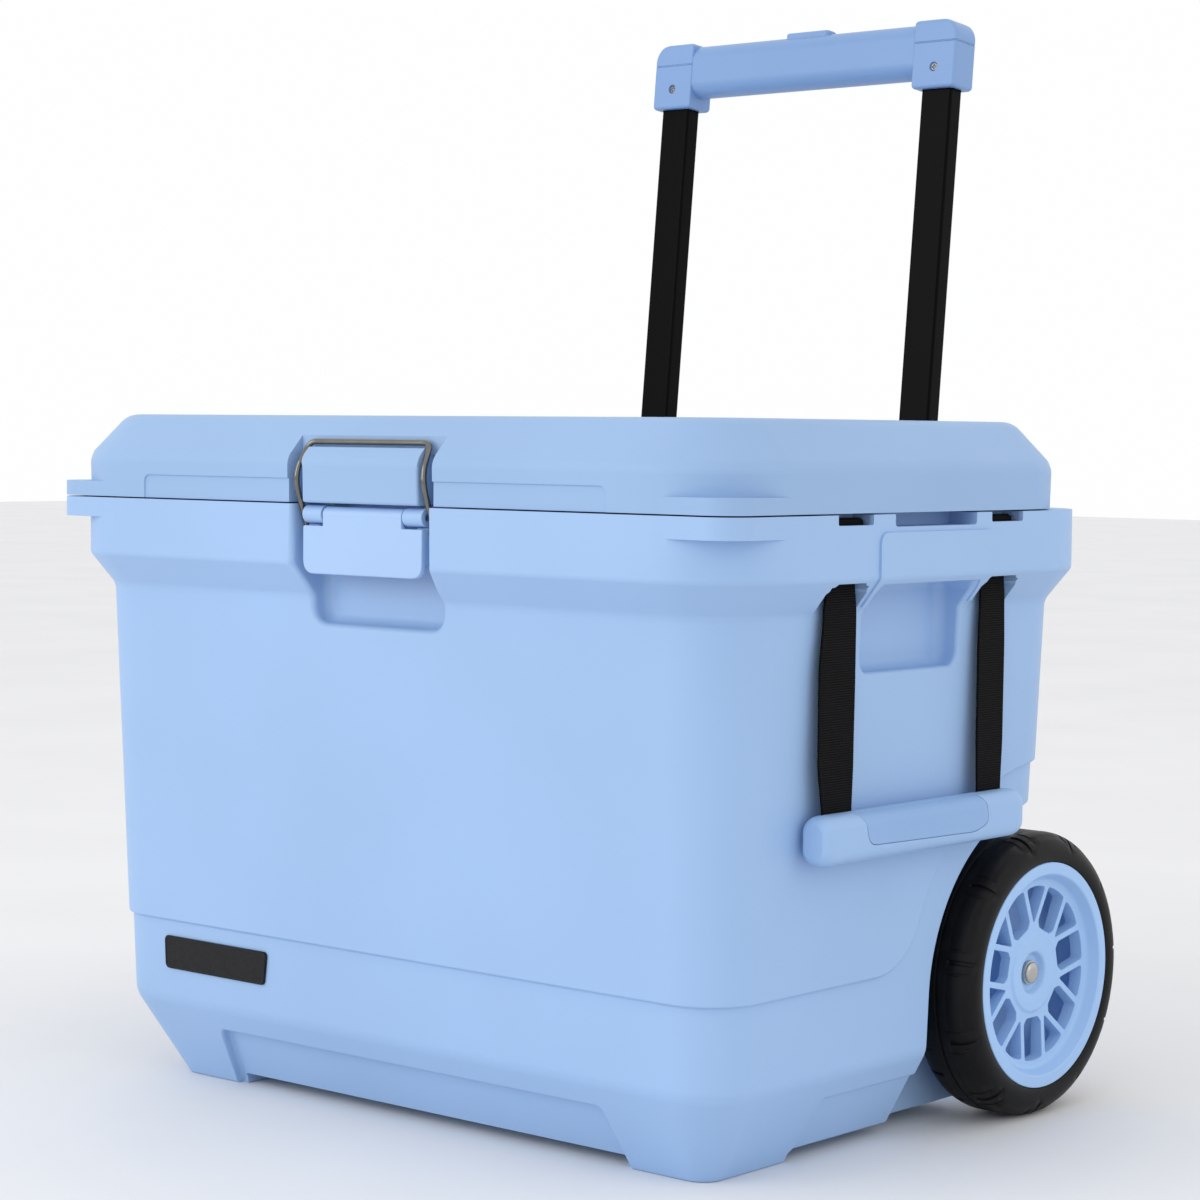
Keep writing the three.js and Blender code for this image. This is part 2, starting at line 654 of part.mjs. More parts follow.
// The button's cross bar reaches over both push rods and travels down inside the tunnel.
const gripBar = cut(
  barSection(-107.6, 107.6, 12.8, BAR_FOOT, GRIP_TOP - 1.2, 12.6),
  barSection(-100, 100, 9, 272, 298, 5),
  post(0, 42.8, 13.8, 4, 286.6, 320),
  barSection(-109, 109, 2.6, 285, 293.5, 1),
);
const button = join(
  post(0, 42, 13, 3.5, 290.7, GRIP_TOP + 1.8),
  barSection(-131, 131, 2.2, 289, 292.5, 1),
);
add('grip_bar', gripBar, HANDLE_BLUE);
add('release_button', button, HANDLE_BLUE);

// A screw head in the front face of the elbow, and the pocket that takes it.
function screwBarrel(r, length, v) {
  const g = new THREE.CylinderGeometry(r, r, length, 16);
  g.translate(TUBE_X, v, 270);
  return leaned(g);
}

const elbow = cut(
  barSection(TUBE_X - 19.5, TUBE_X + 19.5, 13.5, ELBOW_FOOT, GRIP_TOP, 5.5),
  post(TUBE_X, TUBE_W + 0.6, TUBE_T + 0.6, 2, 240, 284),
  post(TUBE_X, 20, 9, 1, 280, 296),
  barSection(100, 134, 2.8, 285, 293.5, 1),
  screwBarrel(3.4, 6, -12.9),
);
const innerTube = cut(
  post(TUBE_X, TUBE_W, TUBE_T, 2, TUBE_FOOT, 283.6),
  post(TUBE_X, TUBE_W - 3, TUBE_T - 3, 1, TUBE_FOOT - 1, 285),
  post(TUBE_X + 10, 12, 7.2, 1, PIN_W - 3.6, PIN_W + 3.6),
);
const sleeve = cut(
  post(TUBE_X, TUBE_W + 3.8, TUBE_T + 3.8, 2.5, SLEEVE_FOOT, SLEEVE_TOP),
  post(TUBE_X, TUBE_W + 0.7, TUBE_T + 0.7, 2, SLEEVE_FOOT - 1, SLEEVE_TOP + 1),
  ...[0, TRAVEL].map((drop) => post(TUBE_X + 14, 12, 7, 1, PIN_W - drop - 3.5, PIN_W - drop + 3.5)),
);
const guide = cut(
  profileY(DEPTH + GAP, 477, roundedShape(TUBE_X - 24, TUBE_X + 24, 397, 443, 5), 4),
  post(TUBE_X, TUBE_W + 4.4, TUBE_T + 4.4, 2.5, -140, SLEEVE_TOP + GAP),
  post(TUBE_X, TUBE_W + 1, TUBE_T + 1, 2, -60, -20),
);
const sleeveFoot = cut(
  profileY(401.4, 443, roundedShape(TUBE_X - 23, TUBE_X + 23, 55, 92, 5), 4),
  post(TUBE_X, TUBE_W + 4.4, TUBE_T + 4.4, 2.5, SLEEVE_FOOT - GAP, -300),
);
const handlePieces = [
  ['grip_elbow', elbow, HANDLE_BLUE],
  ['elbow_screw', screwBarrel(3.1, 3.4, -11.9), STEEL],
  ['inner_tube', innerTube, BLACK_TUBE],
  ['push_rod', post(TUBE_X, 5, 5, 1, PIN_W + 7, 288.7), STEEL],
  ['lock_pin', post(TUBE_X + 6.15, 15.6, 6, 1, PIN_W - 3, PIN_W + 3), STEEL],
  ['handle_sleeve', sleeve, BLACK_TUBE],
  ['handle_guide', guide, BLACK_PLASTIC],
  ['sleeve_foot', sleeveFoot, BLACK_PLASTIC],
];
SIDES.forEach(([side, place]) => {
  handlePieces.forEach(([name, piece, material]) => add(`${name}_${side}`, place(piece), material));
});

// ---------- wheels ----------
add('axle', cylinderX(-291, 291, WHEEL_DEPTH, WHEEL_R, AXLE_R, 32), STEEL);

function latheX(points, x0, segments = 44) {
  const g = new THREE.LatheGeometry(points.map(([r, x]) => new THREE.Vector2(r, x)), segments);
  g.rotateZ(-Math.PI / 2);
  g.translate(x0, FRONT_Y + WHEEL_DEPTH, WHEEL_R);
  return solid(g);
}

function arcPoints(cx, cy, r, a0, a1, n) {
  return Array.from({ length: n + 1 }, (_, i) => {
    const a = THREE.MathUtils.degToRad(a0 + ((a1 - a0) * i) / n);
    return [cx + r * Math.cos(a), cy + r * Math.sin(a)];
  });
}

// Tyre: flat tread with round shoulders; x runs from the inner face outwards.
const width = WHEEL_OUT - WHEEL_IN;
const shoulder = 15;
const tyreProfile = [
  [RIM_R + GAP, width - 1],
  [RIM_R + GAP, 1],
  [RIM_R + 5, 0],
  ...arcPoints(WHEEL_R - shoulder, shoulder, shoulder, -90, 0, 3),
  ...arcPoints(WHEEL_R - shoulder, width - shoulder, shoulder, 0, 90, 3),
  [RIM_R + 5, width],
];
tyreProfile.push(tyreProfile[0]);

// Hub: rim barrel, a dished plate with seven paired spokes, and a boss with a pocket for the cap.
const SPOKE_PAIRS = 7;
const PLATE_X = 294.4 - WHEEL_IN;
const CAP_POCKET_X = PLATE_X - 5.4;
const hubProfile = [
  [AXLE_R + 0.08, 0.5], [20, 0.5], [22, 6], [76, 6], [76, 1], [RIM_R, 1],
  [RIM_R, width - 0.6], [71.5, width - 0.6], [67, PLATE_X], [15.5, PLATE_X],
  [13.5, CAP_POCKET_X], [AXLE_R + 0.08, CAP_POCKET_X],
];
hubProfile.push(hubProfile[0]);
// The hollow between the back web and the spoked plate.
const hubHollow = [[20, 9], [74, 9], [74, PLATE_X - 9], [26, PLATE_X - 9], [20, 9]];

function polar(r, deg) {
  const a = THREE.MathUtils.degToRad(deg);
  return new THREE.Vector2(r * Math.cos(a), r * Math.sin(a));
}

// Openings between the spokes: wide ones with parallel sides, and a triangle between each two.
const WIDE_WINDOW = [[32, -7], [32, 7], [35.8, 11], [61.3, 11], [62.8, 0], [61.3, -11], [35.8, -11]];
function spokeWindows() {
  const pitch = 360 / SPOKE_PAIRS;
  const windows = [];
  for (let k = 0; k < SPOKE_PAIRS; k += 1) {
    const mid = -90 + k * pitch;
    const wide = WIDE_WINDOW.map(([r, across]) => polar(
      Math.hypot(r, across), mid + THREE.MathUtils.radToDeg(Math.atan2(across, r)),
    ));
    const other = mid + pitch / 2;
    const narrow = [polar(35.4, other), polar(62, other + 11.2), polar(63, other), polar(62, other - 11.2)];
    windows.push(wide, narrow);
  }
  return windows.map((points) => {
    const g = new THREE.ExtrudeGeometry(new THREE.Shape(points), { depth: 60, bevelEnabled: false });
    g.rotateX(Math.PI / 2);
    g.rotateZ(Math.PI / 2);
    g.translate(WHEEL_IN + 12, FRONT_Y + WHEEL_DEPTH, WHEEL_R);
    return solid(g);
  });
}

const tyre = latheX(tyreProfile, WHEEL_IN);
const hub = cut(latheX(hubProfile, WHEEL_IN), latheX(hubHollow, WHEEL_IN), ...spokeWindows());
const spacer = cut(
  cylinderX(WELL_IN + GAP, WHEEL_IN + 0.2, WHEEL_DEPTH, WHEEL_R, 13, 32),
  cylinderX(200, 300, WHEEL_DEPTH, WHEEL_R, AXLE_R + 0.1, 32),
);
const capStart = WHEEL_IN + CAP_POCKET_X + GAP;
const cap = cut(
  latheX([[0, 0], [8.5, 0], [8.5, 2.2], [7.2, 3.6], [4, 4.6], [0, 5]], capStart, 24),
  cylinderX(280, 291.3, WHEEL_DEPTH, WHEEL_R, AXLE_R + 0.1, 32),
);
SIDES.forEach(([side, place]) => {
  add(`tyre_${side}`, place(tyre), RUBBER);
  add(`wheel_hub_${side}`, place(hub), BLUE);
  add(`wheel_spacer_${side}`, place(spacer), BLACK_PLASTIC);
  add(`axle_cap_${side}`, place(cap), STEEL);
});

// ---------- end carry handles ----------
const GRIP_X = 309.8;
const GRIP_Z = 223.8;
const GRIP_D0 = 100;
const GRIP_D1 = 330;
const gripBody = (() => {
  const ends = [[0, 0.72], [4, 0.92], [9, 1], [221, 1], [226, 0.92], [230, 0.72]];
  const outline = roundedShape(-11, 11, -16.4, 16.4, 9.5).getPoints(3).slice(0, -1);
  const n = outline.length;
  const points = [];
  ends.forEach(([d, k]) => outline.forEach((p) => {
    points.push(GRIP_X + p.x * k, FRONT_Y + GRIP_D0 + d, GRIP_Z + p.y * k);
  }));
  const faces = [];
  for (let k = 0; k + 1 < ends.length; k += 1) {
    for (let i = 0; i < n; i += 1) {
      const a = k * n + i;
      const b = k * n + ((i + 1) % n);
      faces.push(a, b + n, b, a, a + n, b + n);
    }
  }
  const endFace = THREE.ShapeUtils.triangulateShape(outline, []);
  endFace.forEach(([a, b, c]) => faces.push(a, b, c));
  const last = (ends.length - 1) * n;
  endFace.forEach(([a, b, c]) => faces.push(last + a, last + c, last + b));
  const g = new THREE.BufferGeometry();
  g.setAttribute('position', new THREE.BufferAttribute(new Float32Array(points), 3));
  g.setIndex(faces);
  return solid(g);
})();
function insertSolid(grow, x0, x1) {
  const s = roundedShape(GRIP_D0 + 32 - grow, GRIP_D1 - 32 + grow, 212.5 - grow, 232.5 + grow, 7);
  const g = new THREE.ExtrudeGeometry(s, { depth: x1 - x0, bevelEnabled: false, curveSegments: 5 });
  g.rotateX(Math.PI / 2);
  g.rotateZ(Math.PI / 2);
  g.translate(x0, FRONT_Y, 0);
  return solid(g);
}
const strapSlot = (d, grow) => box(
  STRAP_X - STRAP_T / 2 - grow, STRAP_X + STRAP_T / 2 + grow,
  d - STRAP_W / 2 - grow, d + STRAP_W / 2 + grow, 226 - grow, 260,
);
const grip = cut(gripBody, insertSolid(GAP, 318, 330), ...STRAP_DEPTHS.map((d) => strapSlot(d, GAP)));

function strapUpper(d) {
  const [px, z] = STRAP_PIN;
  const half = STRAP_W / 2;
  const flat = box(STRAP_X - STRAP_T / 2, STRAP_X + STRAP_T / 2, d - half, d + half, SWING_Z + 1.3, z);
  const ring = cut(
    cylinderY(d - half, d + half, px, z, 4.4, 24),
    cylinderY(d - 30, d + 30, px, z, 2.6, 24),
    box(px - 10, px + 2, d - 30, d + 30, z - 10, z),
  );
  return join(flat, ring);
}

SIDES.forEach(([side, place]) => {
  add(`carry_grip_${side}`, place(grip), HANDLE_BLUE);
  add(`grip_insert_${side}`, place(insertSolid(0, 318.3, 320.9)), HANDLE_BLUE);
  STRAP_DEPTHS.forEach((d, i) => {
    const where = `${side}_${i === 0 ? 'front' : 'rear'}`;
    add(`strap_anchor_${where}`, place(strapUpper(d)), WEBBING);
    add(`strap_pin_${where}`, place(cylinderY(d - 24, d + 24, STRAP_PIN[0], STRAP_PIN[1], 2.4, 20)), STEEL);
    const hanging = box(
      STRAP_X - STRAP_T / 2, STRAP_X + STRAP_T / 2, d - STRAP_W / 2, d + STRAP_W / 2, 226.3, SWING_Z - 0.6,
    );
    add(`strap_${where}`, place(hanging), WEBBING);
  });
});

export default cooler;
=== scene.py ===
import math

import bmesh
import bpy
from mathutils import Matrix, Vector


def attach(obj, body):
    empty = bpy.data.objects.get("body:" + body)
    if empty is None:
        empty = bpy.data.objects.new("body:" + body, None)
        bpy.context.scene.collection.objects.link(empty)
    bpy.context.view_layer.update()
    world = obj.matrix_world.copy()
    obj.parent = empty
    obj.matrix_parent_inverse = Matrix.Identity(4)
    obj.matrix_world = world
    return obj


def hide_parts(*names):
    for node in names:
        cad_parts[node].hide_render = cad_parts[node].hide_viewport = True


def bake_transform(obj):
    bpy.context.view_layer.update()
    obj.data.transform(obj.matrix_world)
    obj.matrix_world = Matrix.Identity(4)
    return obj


# Wheeled hard cooler: the looks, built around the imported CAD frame.
# Lengths are in mm. "d" is depth back from the rim's front face, z is height above the floor.
# Points in pairs are (d, z) unless a comment says otherwise.
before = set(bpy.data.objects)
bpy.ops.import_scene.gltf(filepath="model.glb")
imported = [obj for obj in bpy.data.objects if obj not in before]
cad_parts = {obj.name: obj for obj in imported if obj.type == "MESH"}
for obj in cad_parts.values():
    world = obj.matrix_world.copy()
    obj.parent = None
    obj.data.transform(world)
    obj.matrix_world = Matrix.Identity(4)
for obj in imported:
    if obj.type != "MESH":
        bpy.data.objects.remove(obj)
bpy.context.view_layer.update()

MM = 0.001
FRONT = -255.82  # y of the rim's front face
HALF = 320.0  # half the rim's length
DEPTH = 431.0  # rim, front to back
LID_DEPTH = 403.0
RIM_TOP = 431.2
WHEEL = (386.0, 101.0)
DRAIN = (130.0, 67.0)
HINGE = (410.0, 439.0)
LEVER_PIVOT = (9.0, 424.3)
BAIL_PIVOT = (12.4, 413.6)
TUBE_X = 128.5  # pull handle tubes, either side of the middle
STRAPS = (128.0, 302.0)  # depth of each strap's middle
WEB_X = 307.5  # hanging webbing, from the middle of the body
SIDES = (("left", -1), ("right", 1))
TINY = 0.00001  # metres


def pt(x, d, z):
    return Vector((x * MM, (FRONT + d) * MM, z * MM))


# ---- mesh tools
def new_object(name, bm):
    mesh = bpy.data.meshes.new(name)
    bm.to_mesh(mesh)
    bm.free()
    obj = bpy.data.objects.new(name, mesh)
    bpy.context.scene.collection.objects.link(obj)
    return obj


def loft(name, rings, closed=False):
    """Skins rings of points; the ends are capped unless the rings close on themselves."""
    bm = bmesh.new()
    loops = [[bm.verts.new(p) for p in ring] for ring in rings]
    n = len(loops[0])
    pairs = list(zip(loops, loops[1:]))
    if closed:
        pairs.append((loops[-1], loops[0]))
    for a, b in pairs:
        for i in range(n):
            j = (i + 1) % n
            bm.faces.new((a[i], a[j], b[j], b[i]))
    if not closed:
        bm.faces.new(list(reversed(loops[0])))
        bm.faces.new(loops[-1])
    bmesh.ops.recalc_face_normals(bm, faces=bm.faces)
    return new_object(name, bm)


def prism(name, axis, outline, a0, a1):
    """An outline pushed along one axis: x takes (d, z), y takes (x, z), z takes (x, d)."""
    place = {
        "x": lambda a, u, v: pt(a, u, v),
        "y": lambda a, u, v: pt(u, a, v),
        "z": lambda a, u, v: pt(u, v, a),
    }[axis]
    return loft(name, [[place(a, u, v) for u, v in outline] for a in (a0, a1)])


def box(name, x0, x1, d0, d1, z0, z1):
    return prism(name, "x", [(d0, z0), (d1, z0), (d1, z1), (d0, z1)], x0, x1)


def arc(cu, cv, r, a0, a1, n):
    out = []
    for i in range(n + 1):
        a = math.radians(a0 + (a1 - a0) * i / n)
        out.append((cu + r * math.cos(a), cv + r * math.sin(a)))
    return out


def rounded(u0, u1, v0, v1, r, n=6):
    """A rectangle with rounded corners; r is one radius or four from the low corner round."""
    r0, r1, r2, r3 = r if hasattr(r, "__len__") else (r, r, r, r)
    return (
        arc(u0 + r0, v0 + r0, r0, 180, 270, n)
        + arc(u1 - r1, v0 + r1, r1, 270, 360, n)
        + arc(u1 - r2, v1 - r2, r2, 0, 90, n)
        + arc(u0 + r3, v1 - r3, r3, 90, 180, n)
    )


def bend(start, corner, end, n):
    """n + 1 points on the curve that leaves start and reaches end, both along lines to corner."""
    steps = [i / n for i in range(n + 1)]
    return [(1 - t) ** 2 * start + 2 * t * (1 - t) * corner + t * t * end for t in steps]


def corner_points(p, q, s, r, n):
    """The corner q between p and s, rounded to about radius r."""
    p, q, s = Vector(p), Vector(q), Vector(s)
    if r <= 0:
        return [tuple(q)]
    a, b = (p - q).normalized(), (s - q).normalized()
    half = math.acos(max(-1, min(1, a.dot(b)))) / 2
    cut = min(r / math.tan(half), 0.48 * (p - q).length, 0.48 * (s - q).length)
    return [tuple(v) for v in bend(q + a * cut, q, q + b * cut, n)]


def filleted(points, radii, n=5):
    """An open polyline with each inner corner rounded."""
    out = [points[0]]
    for k in range(1, len(points) - 1):
        out += corner_points(points[k - 1], points[k], points[k + 1], radii[k], n)
    return out + [points[-1]]


def smooth_closed(points, radii, n=5):
    """A closed polygon with rounded corners."""
    out = []
    count = len(points)
    for k in range(count):
        out += corner_points(points[k - 1], points[k], points[(k + 1) % count], radii[k], n)
    return out


def plan(x0, x1, d0, d1, r_front, r_back, z, n=14):
    """A level ring: a rectangle in (x, d) with rounded front and back corners."""
    pts = (
        arc(x1 - r_front, d0 + r_front, r_front, -90, 0, n)
        + arc(x1 - r_back, d1 - r_back, r_back, 0, 90, n)
        + arc(x0 + r_back, d1 - r_back, r_back, 90, 180, n)
        + arc(x0 + r_front, d0 + r_front, r_front, 180, 270, n)
    )
    return [pt(x, d, z) for x, d in pts]


def cylinder(name, axis, center, r, a0, a1, n=48):
    """A round bar along one axis, from a0 to a1."""
    return prism(name, axis, arc(center[0], center[1], r, 0, 360 * (n - 1) / n, n - 1), a0, a1)


def remove(obj):
    mesh = obj.data
    bpy.data.objects.remove(obj)
    bpy.data.meshes.remove(mesh)


def combine(base, tools, how="DIFFERENCE"):
    """Booleans the tools into base one after the other, and removes them."""
    for tool in tools:
        m = base.modifiers.new("cut", "BOOLEAN")
        m.object = tool
        m.operation = how
        m.solver = "EXACT"
    apply_modifiers(base)
    for tool in tools:
        remove(tool)
    bm = bmesh.new()
    bm.from_mesh(base.data)
    bmesh.ops.remove_doubles(bm, verts=bm.verts, dist=2 * TINY)
    bmesh.ops.dissolve_degenerate(bm, edges=bm.edges, dist=2 * TINY)
    bm.to_mesh(base.data)
    bm.free()
    return base


def apply_modifiers(obj):
    bpy.context.view_layer.update()
    graph = bpy.context.evaluated_depsgraph_get()
    mesh = bpy.data.meshes.new_from_object(obj.evaluated_get(graph))
    old = obj.data
    obj.modifiers.clear()
    obj.data = mesh
    bpy.data.meshes.remove(old)


def bevel(obj, width, segments=3, where=None, angle=28):
    """Rounds the edges sharper than angle whose middle passes where(x, d, z), in mm."""
    bm = bmesh.new()
    bm.from_mesh(obj.data)
    bmesh.ops.dissolve_limit(bm, angle_limit=math.radians(0.4), verts=bm.verts, edges=bm.edges)
    edges = []
    for e in bm.edges:
        if len(e.link_faces) != 2 or e.calc_length() < 5 * TINY:
            continue
        if e.calc_face_angle(0) < math.radians(angle):
            continue
        mid = (e.verts[0].co + e.verts[1].co) / 2 * 1000
        if where is None or where(mid.x, mid.y - FRONT, mid.z):
            edges.append(e)
    bmesh.ops.bevel(
        bm, geom=edges, offset=width * MM, segments=segments, profile=0.5, affect="EDGES",
        clamp_overlap=False, miter_outer="ARC", miter_inner="SHARP", loop_slide=False,
    )
    bmesh.ops.remove_doubles(bm, verts=bm.verts, dist=TINY)
    bmesh.ops.dissolve_degenerate(bm, edges=bm.edges, dist=TINY)
    bm.to_mesh(obj.data)
    bm.free()
    return obj


def shade(obj, angle=32, weighted=True):
    """Smooth shading up to the given angle between faces."""
    for p in obj.data.polygons:
        p.use_smooth = True
    obj.data.set_sharp_from_angle(angle=math.radians(angle))
    if weighted:
        m = obj.modifiers.new("weighted normals", "WEIGHTED_NORMAL")
        m.keep_sharp = True
        m.weight = 60
    return obj


def flip_x(mesh):
    mesh.transform(Matrix.Scale(-1, 4, (1, 0, 0)))
    mesh.flip_normals()


def mirror_x(obj, name):
    mesh = obj.data.copy()
    flip_x(mesh)
    twin = bpy.data.objects.new(name, mesh)
    bpy.context.scene.collection.objects.link(twin)
    return twin


def place(obj, body, material, slot, *nodes):
    """Gives a finished piece its material, its body and the CAD nodes it replaces; slot is not used."""
    obj.data.materials.clear()
    obj.data.materials.append(material)
    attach(obj, body)
    if nodes:
        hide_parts(*nodes)
    return obj


# ---- materials
class Nodes:
    """Small helper that wires one material."""

    def __init__(self, name):
        self.material = bpy.data.materials.new(name)
        self.material.use_nodes = True
        self.tree = self.material.node_tree
        self.tree.nodes.clear()
        self.out = self.add("ShaderNodeOutputMaterial")
        self.shader = self.add("ShaderNodeBsdfPrincipled")
        self.link(self.shader.outputs[0], self.out.inputs["Surface"])
        self.coords = self.add("ShaderNodeTexCoord")

    def add(self, kind, **values):
        node = self.tree.nodes.new(kind)
        for key, value in values.items():
            setattr(node, key, value)
        return node

    def link(self, a, b):
        self.tree.links.new(a, b)

    def noise(self, scale, detail=3.0, roughness=0.5, stretch=None):
        tex = self.add("ShaderNodeTexNoise")
        tex.inputs["Scale"].default_value = scale
        tex.inputs["Detail"].default_value = detail
        tex.inputs["Roughness"].default_value = roughness
        source = self.coords.outputs["Object"]
        if stretch:
            mapping = self.add("ShaderNodeMapping")
            mapping.inputs["Scale"].default_value = stretch
            self.link(source, mapping.inputs["Vector"])
            source = mapping.outputs[0]
        self.link(source, tex.inputs["Vector"])
        return tex.outputs["Fac"]

    def ramp(self, value, stops):
        node = self.add("ShaderNodeValToRGB")
        ramp = node.color_ramp
        while len(ramp.elements) < len(stops):
            ramp.elements.new(0.5)
        for element, (at, color) in zip(ramp.elements, stops):
            element.position = at
            element.color = color if len(color) == 4 else (*color, 1)
        self.link(value, node.inputs[0])
        return node.outputs[0]

    def span(self, value, low, high):
        node = self.add("ShaderNodeMapRange")
        node.inputs["To Min"].default_value = low
        node.inputs["To Max"].default_value = high
        self.link(value, node.inputs["Value"])
        return node.outputs[0]

    def math(self, op, a, b=None):
        node = self.add("ShaderNodeMath", operation=op)
        for socket, value in zip(node.inputs, (a, b)):
            if value is None:
                continue
            if hasattr(value, "links"):
                self.link(value, socket)
            else:
                socket.default_value = value
        return node.outputs[0]

    def bump(self, height, strength, distance, normal=None):
        node = self.add("ShaderNodeBump")
        node.inputs["Strength"].default_value = strength
        node.inputs["Distance"].default_value = distance
        self.link(height, node.inputs["Height"])
        if normal is not None:
            self.link(normal, node.inputs["Normal"])
        return node.outputs[0]

    def set(self, **values):
        names = {
            "color": "Base Color", "roughness": "Roughness", "metallic": "Metallic",
            "normal": "Normal", "specular": "Specular IOR Level",
            "sheen": "Sheen Weight", "sheen_roughness": "Sheen Roughness",
        }
        for key, value in values.items():
            socket = self.shader.inputs[names[key]]
            if hasattr(value, "links"):
                self.link(value, socket)
            else:
                socket.default_value = value
        return self.material


def tint(color, k):
    return (*(min(1, c * k) for c in color), 1)


def moulded_plastic(name, color, rough=0.42, grain=0.10, specular=0.45):
    """Satin moulded plastic: a fine pebble grain, slow drifts in tone and polish."""
    n = Nodes(name)
    drift = n.noise(5.0, 2.0)
    tone = n.ramp(drift, [(0.3, tint(color, 0.965)), (0.7, tint(color, 1.035))])
    flow = n.noise(26.0, 4.0, 0.6, (1, 1, 3))
    rough_out = n.span(flow, rough - 0.05, rough + 0.07)
    pebble = n.noise(950.0, 2.0, 0.55)
    soft = n.noise(180.0, 2.0, 0.5)
    normal = n.bump(soft, 0.05, 0.001)
    normal = n.bump(pebble, grain, 0.0005, normal)
    return n.set(color=tone, roughness=rough_out, normal=normal, specular=specular)


BLUE = (0.325, 0.494, 0.768)
HANDLE_BLUE = (0.198, 0.338, 0.605)
LINER = (0.83, 0.86, 0.88)

mat_body = moulded_plastic("body_plastic", BLUE, 0.44)
mat_lid = moulded_plastic("lid_plastic", (0.300, 0.452, 0.695), 0.46, specular=0.28)
mat_lever = moulded_plastic("lever_plastic", (0.355, 0.520, 0.79), 0.40, 0.06)
mat_handle = moulded_plastic("handle_plastic", HANDLE_BLUE, 0.36, 0.05)
mat_grip = moulded_plastic("carry_grip_plastic", (0.312, 0.485, 0.765), 0.40, 0.06)
mat_insert = moulded_plastic("grip_insert_plastic", (0.262, 0.428, 0.715), 0.52, 0.22)
mat_hub = moulded_plastic("hub_plastic", (0.355, 0.560, 0.880), 0.38, 0.05)
mat_liner = moulded_plastic("liner_plastic", LINER, 0.30, 0.03, 0.5)
mat_black_plastic = moulded_plastic("black_plastic", (0.012, 0.012, 0.014), 0.42, 0.12)


def rubber(name, color, rough, grain):
    """Dull black rubber: dusty in patches, with a fine grain."""
    n = Nodes(name)
    dust = n.noise(60.0, 5.0, 0.65)
    tone = n.ramp(dust, [(0.35, tint(color, 0.8)), (0.75, tint(color, 1.45))])
    fine = n.noise(1400.0, 3.0, 0.6)
    streak = n.noise(240.0, 3.0, 0.6)
    normal = n.bump(streak, 0.06, 0.001)
    normal = n.bump(fine, grain, 0.0004, normal)
    return n.set(color=tone, roughness=n.span(dust, rough - 0.06, rough + 0.10),
                 normal=normal, specular=0.15)


mat_tyre = rubber("tyre_rubber", (0.0055, 0.0055, 0.006), 0.42, 0.14)
mat_gasket = rubber("gasket_rubber", (0.02, 0.02, 0.022), 0.6, 0.1)


RIB_PITCH, WARP_PITCH = 0.0016, 0.0011  # metres


def webbing(name):
    """Flat polyester webbing: ribs across it and fine warp threads along it, with painted shade in their
    valleys and painted highlight on their crests.
    """
    n = Nodes(name)
    split = n.add("ShaderNodeSeparateXYZ")
    n.link(n.coords.outputs["Object"], split.inputs[0])
    rib = n.math("SINE", n.math("MULTIPLY", split.outputs["Z"], 2 * math.pi / RIB_PITCH))
    warp = n.math("SINE", n.math("MULTIPLY", split.outputs["Y"], 2 * math.pi / WARP_PITCH))
    crossed = n.math("ADD", n.math("MULTIPLY", rib, 0.75), n.math("MULTIPLY", warp, 0.25))
    height = n.span(crossed, 0.0, 1.0)
    height.node.inputs["From Min"].default_value = -1
    fuzz = n.noise(2500.0, 2.0)
    # The colour follows the rib height: painted shade in the valleys between ribs and threads, painted
    # highlight on their crests.
    tone = n.ramp(height, [(0.1, (0.0006, 0.0006, 0.0008)), (0.9, (0.0105, 0.0098, 0.011))])
    normal = n.bump(height, 1.0, 0.0006)
    normal = n.bump(fuzz, 0.25, 0.0003, normal)
    return n.set(color=tone, roughness=n.span(fuzz, 0.62, 0.85), normal=normal, specular=0.06,
                 sheen=0.015, sheen_roughness=0.4)


mat_webbing = webbing("black_webbing")


def metal(name, color, rough, smudge=0.08, stretch=None):
    """Bare metal with faint smudges; stretch draws them out along an axis."""
    n = Nodes(name)
    cloud = n.noise(90.0, 4.0, 0.6, stretch)
    tone = n.ramp(cloud, [(0.3, tint(color, 0.92)), (0.7, tint(color, 1.05))])
    fine = n.noise(700.0, 3.0, 0.6, stretch)
    return n.set(color=tone, metallic=1.0, roughness=n.span(cloud, rough, rough + smudge),
                 normal=n.bump(fine, 0.02, 0.0003))


# This steel's base colour is set far darker than bare steel: a painted dark reflection on the bail wire
# and the elbow screws.
mat_steel = metal("polished_steel", (0.19, 0.182, 0.16), 0.08)
mat_nut = metal("bright_cap", (0.50, 0.49, 0.46), 0.16)
mat_pin = metal("bright_steel", (0.52, 0.51, 0.48), 0.30, 0.12, (1, 8, 1))


def painted_tube(name):
    """Gloss black powder coat with faint orange peel and fine rub marks along the tube."""
    n = Nodes(name)
    peel = n.noise(520.0, 2.0, 0.5)
    rub = n.noise(60.0, 5.0, 0.7, (14, 14, 0.6))
    tone = n.ramp(rub, [(0.35, (0.0016, 0.0016, 0.0018)), (0.8, (0.0032, 0.0032, 0.0035))])
    return n.set(color=tone, roughness=n.span(rub, 0.22, 0.34), normal=n.bump(peel, 0.035, 0.0003),
                 specular=0.04)


mat_tube = painted_tube("black_powder_coat")


def plate_finish(name):
    """Smooth black enamel."""
    n = Nodes(name)
    cloud = n.noise(300.0, 3.0)
    tone = n.ramp(cloud, [(0.3, (0.007, 0.007, 0.008)), (0.8, (0.013, 0.013, 0.014))])
    return n.set(color=tone, roughness=n.span(cloud, 0.24, 0.34), specular=0.2,
                 normal=n.bump(n.noise(1500.0, 2.0), 0.03, 0.0003))


mat_plate = plate_finish("name_plate_finish")


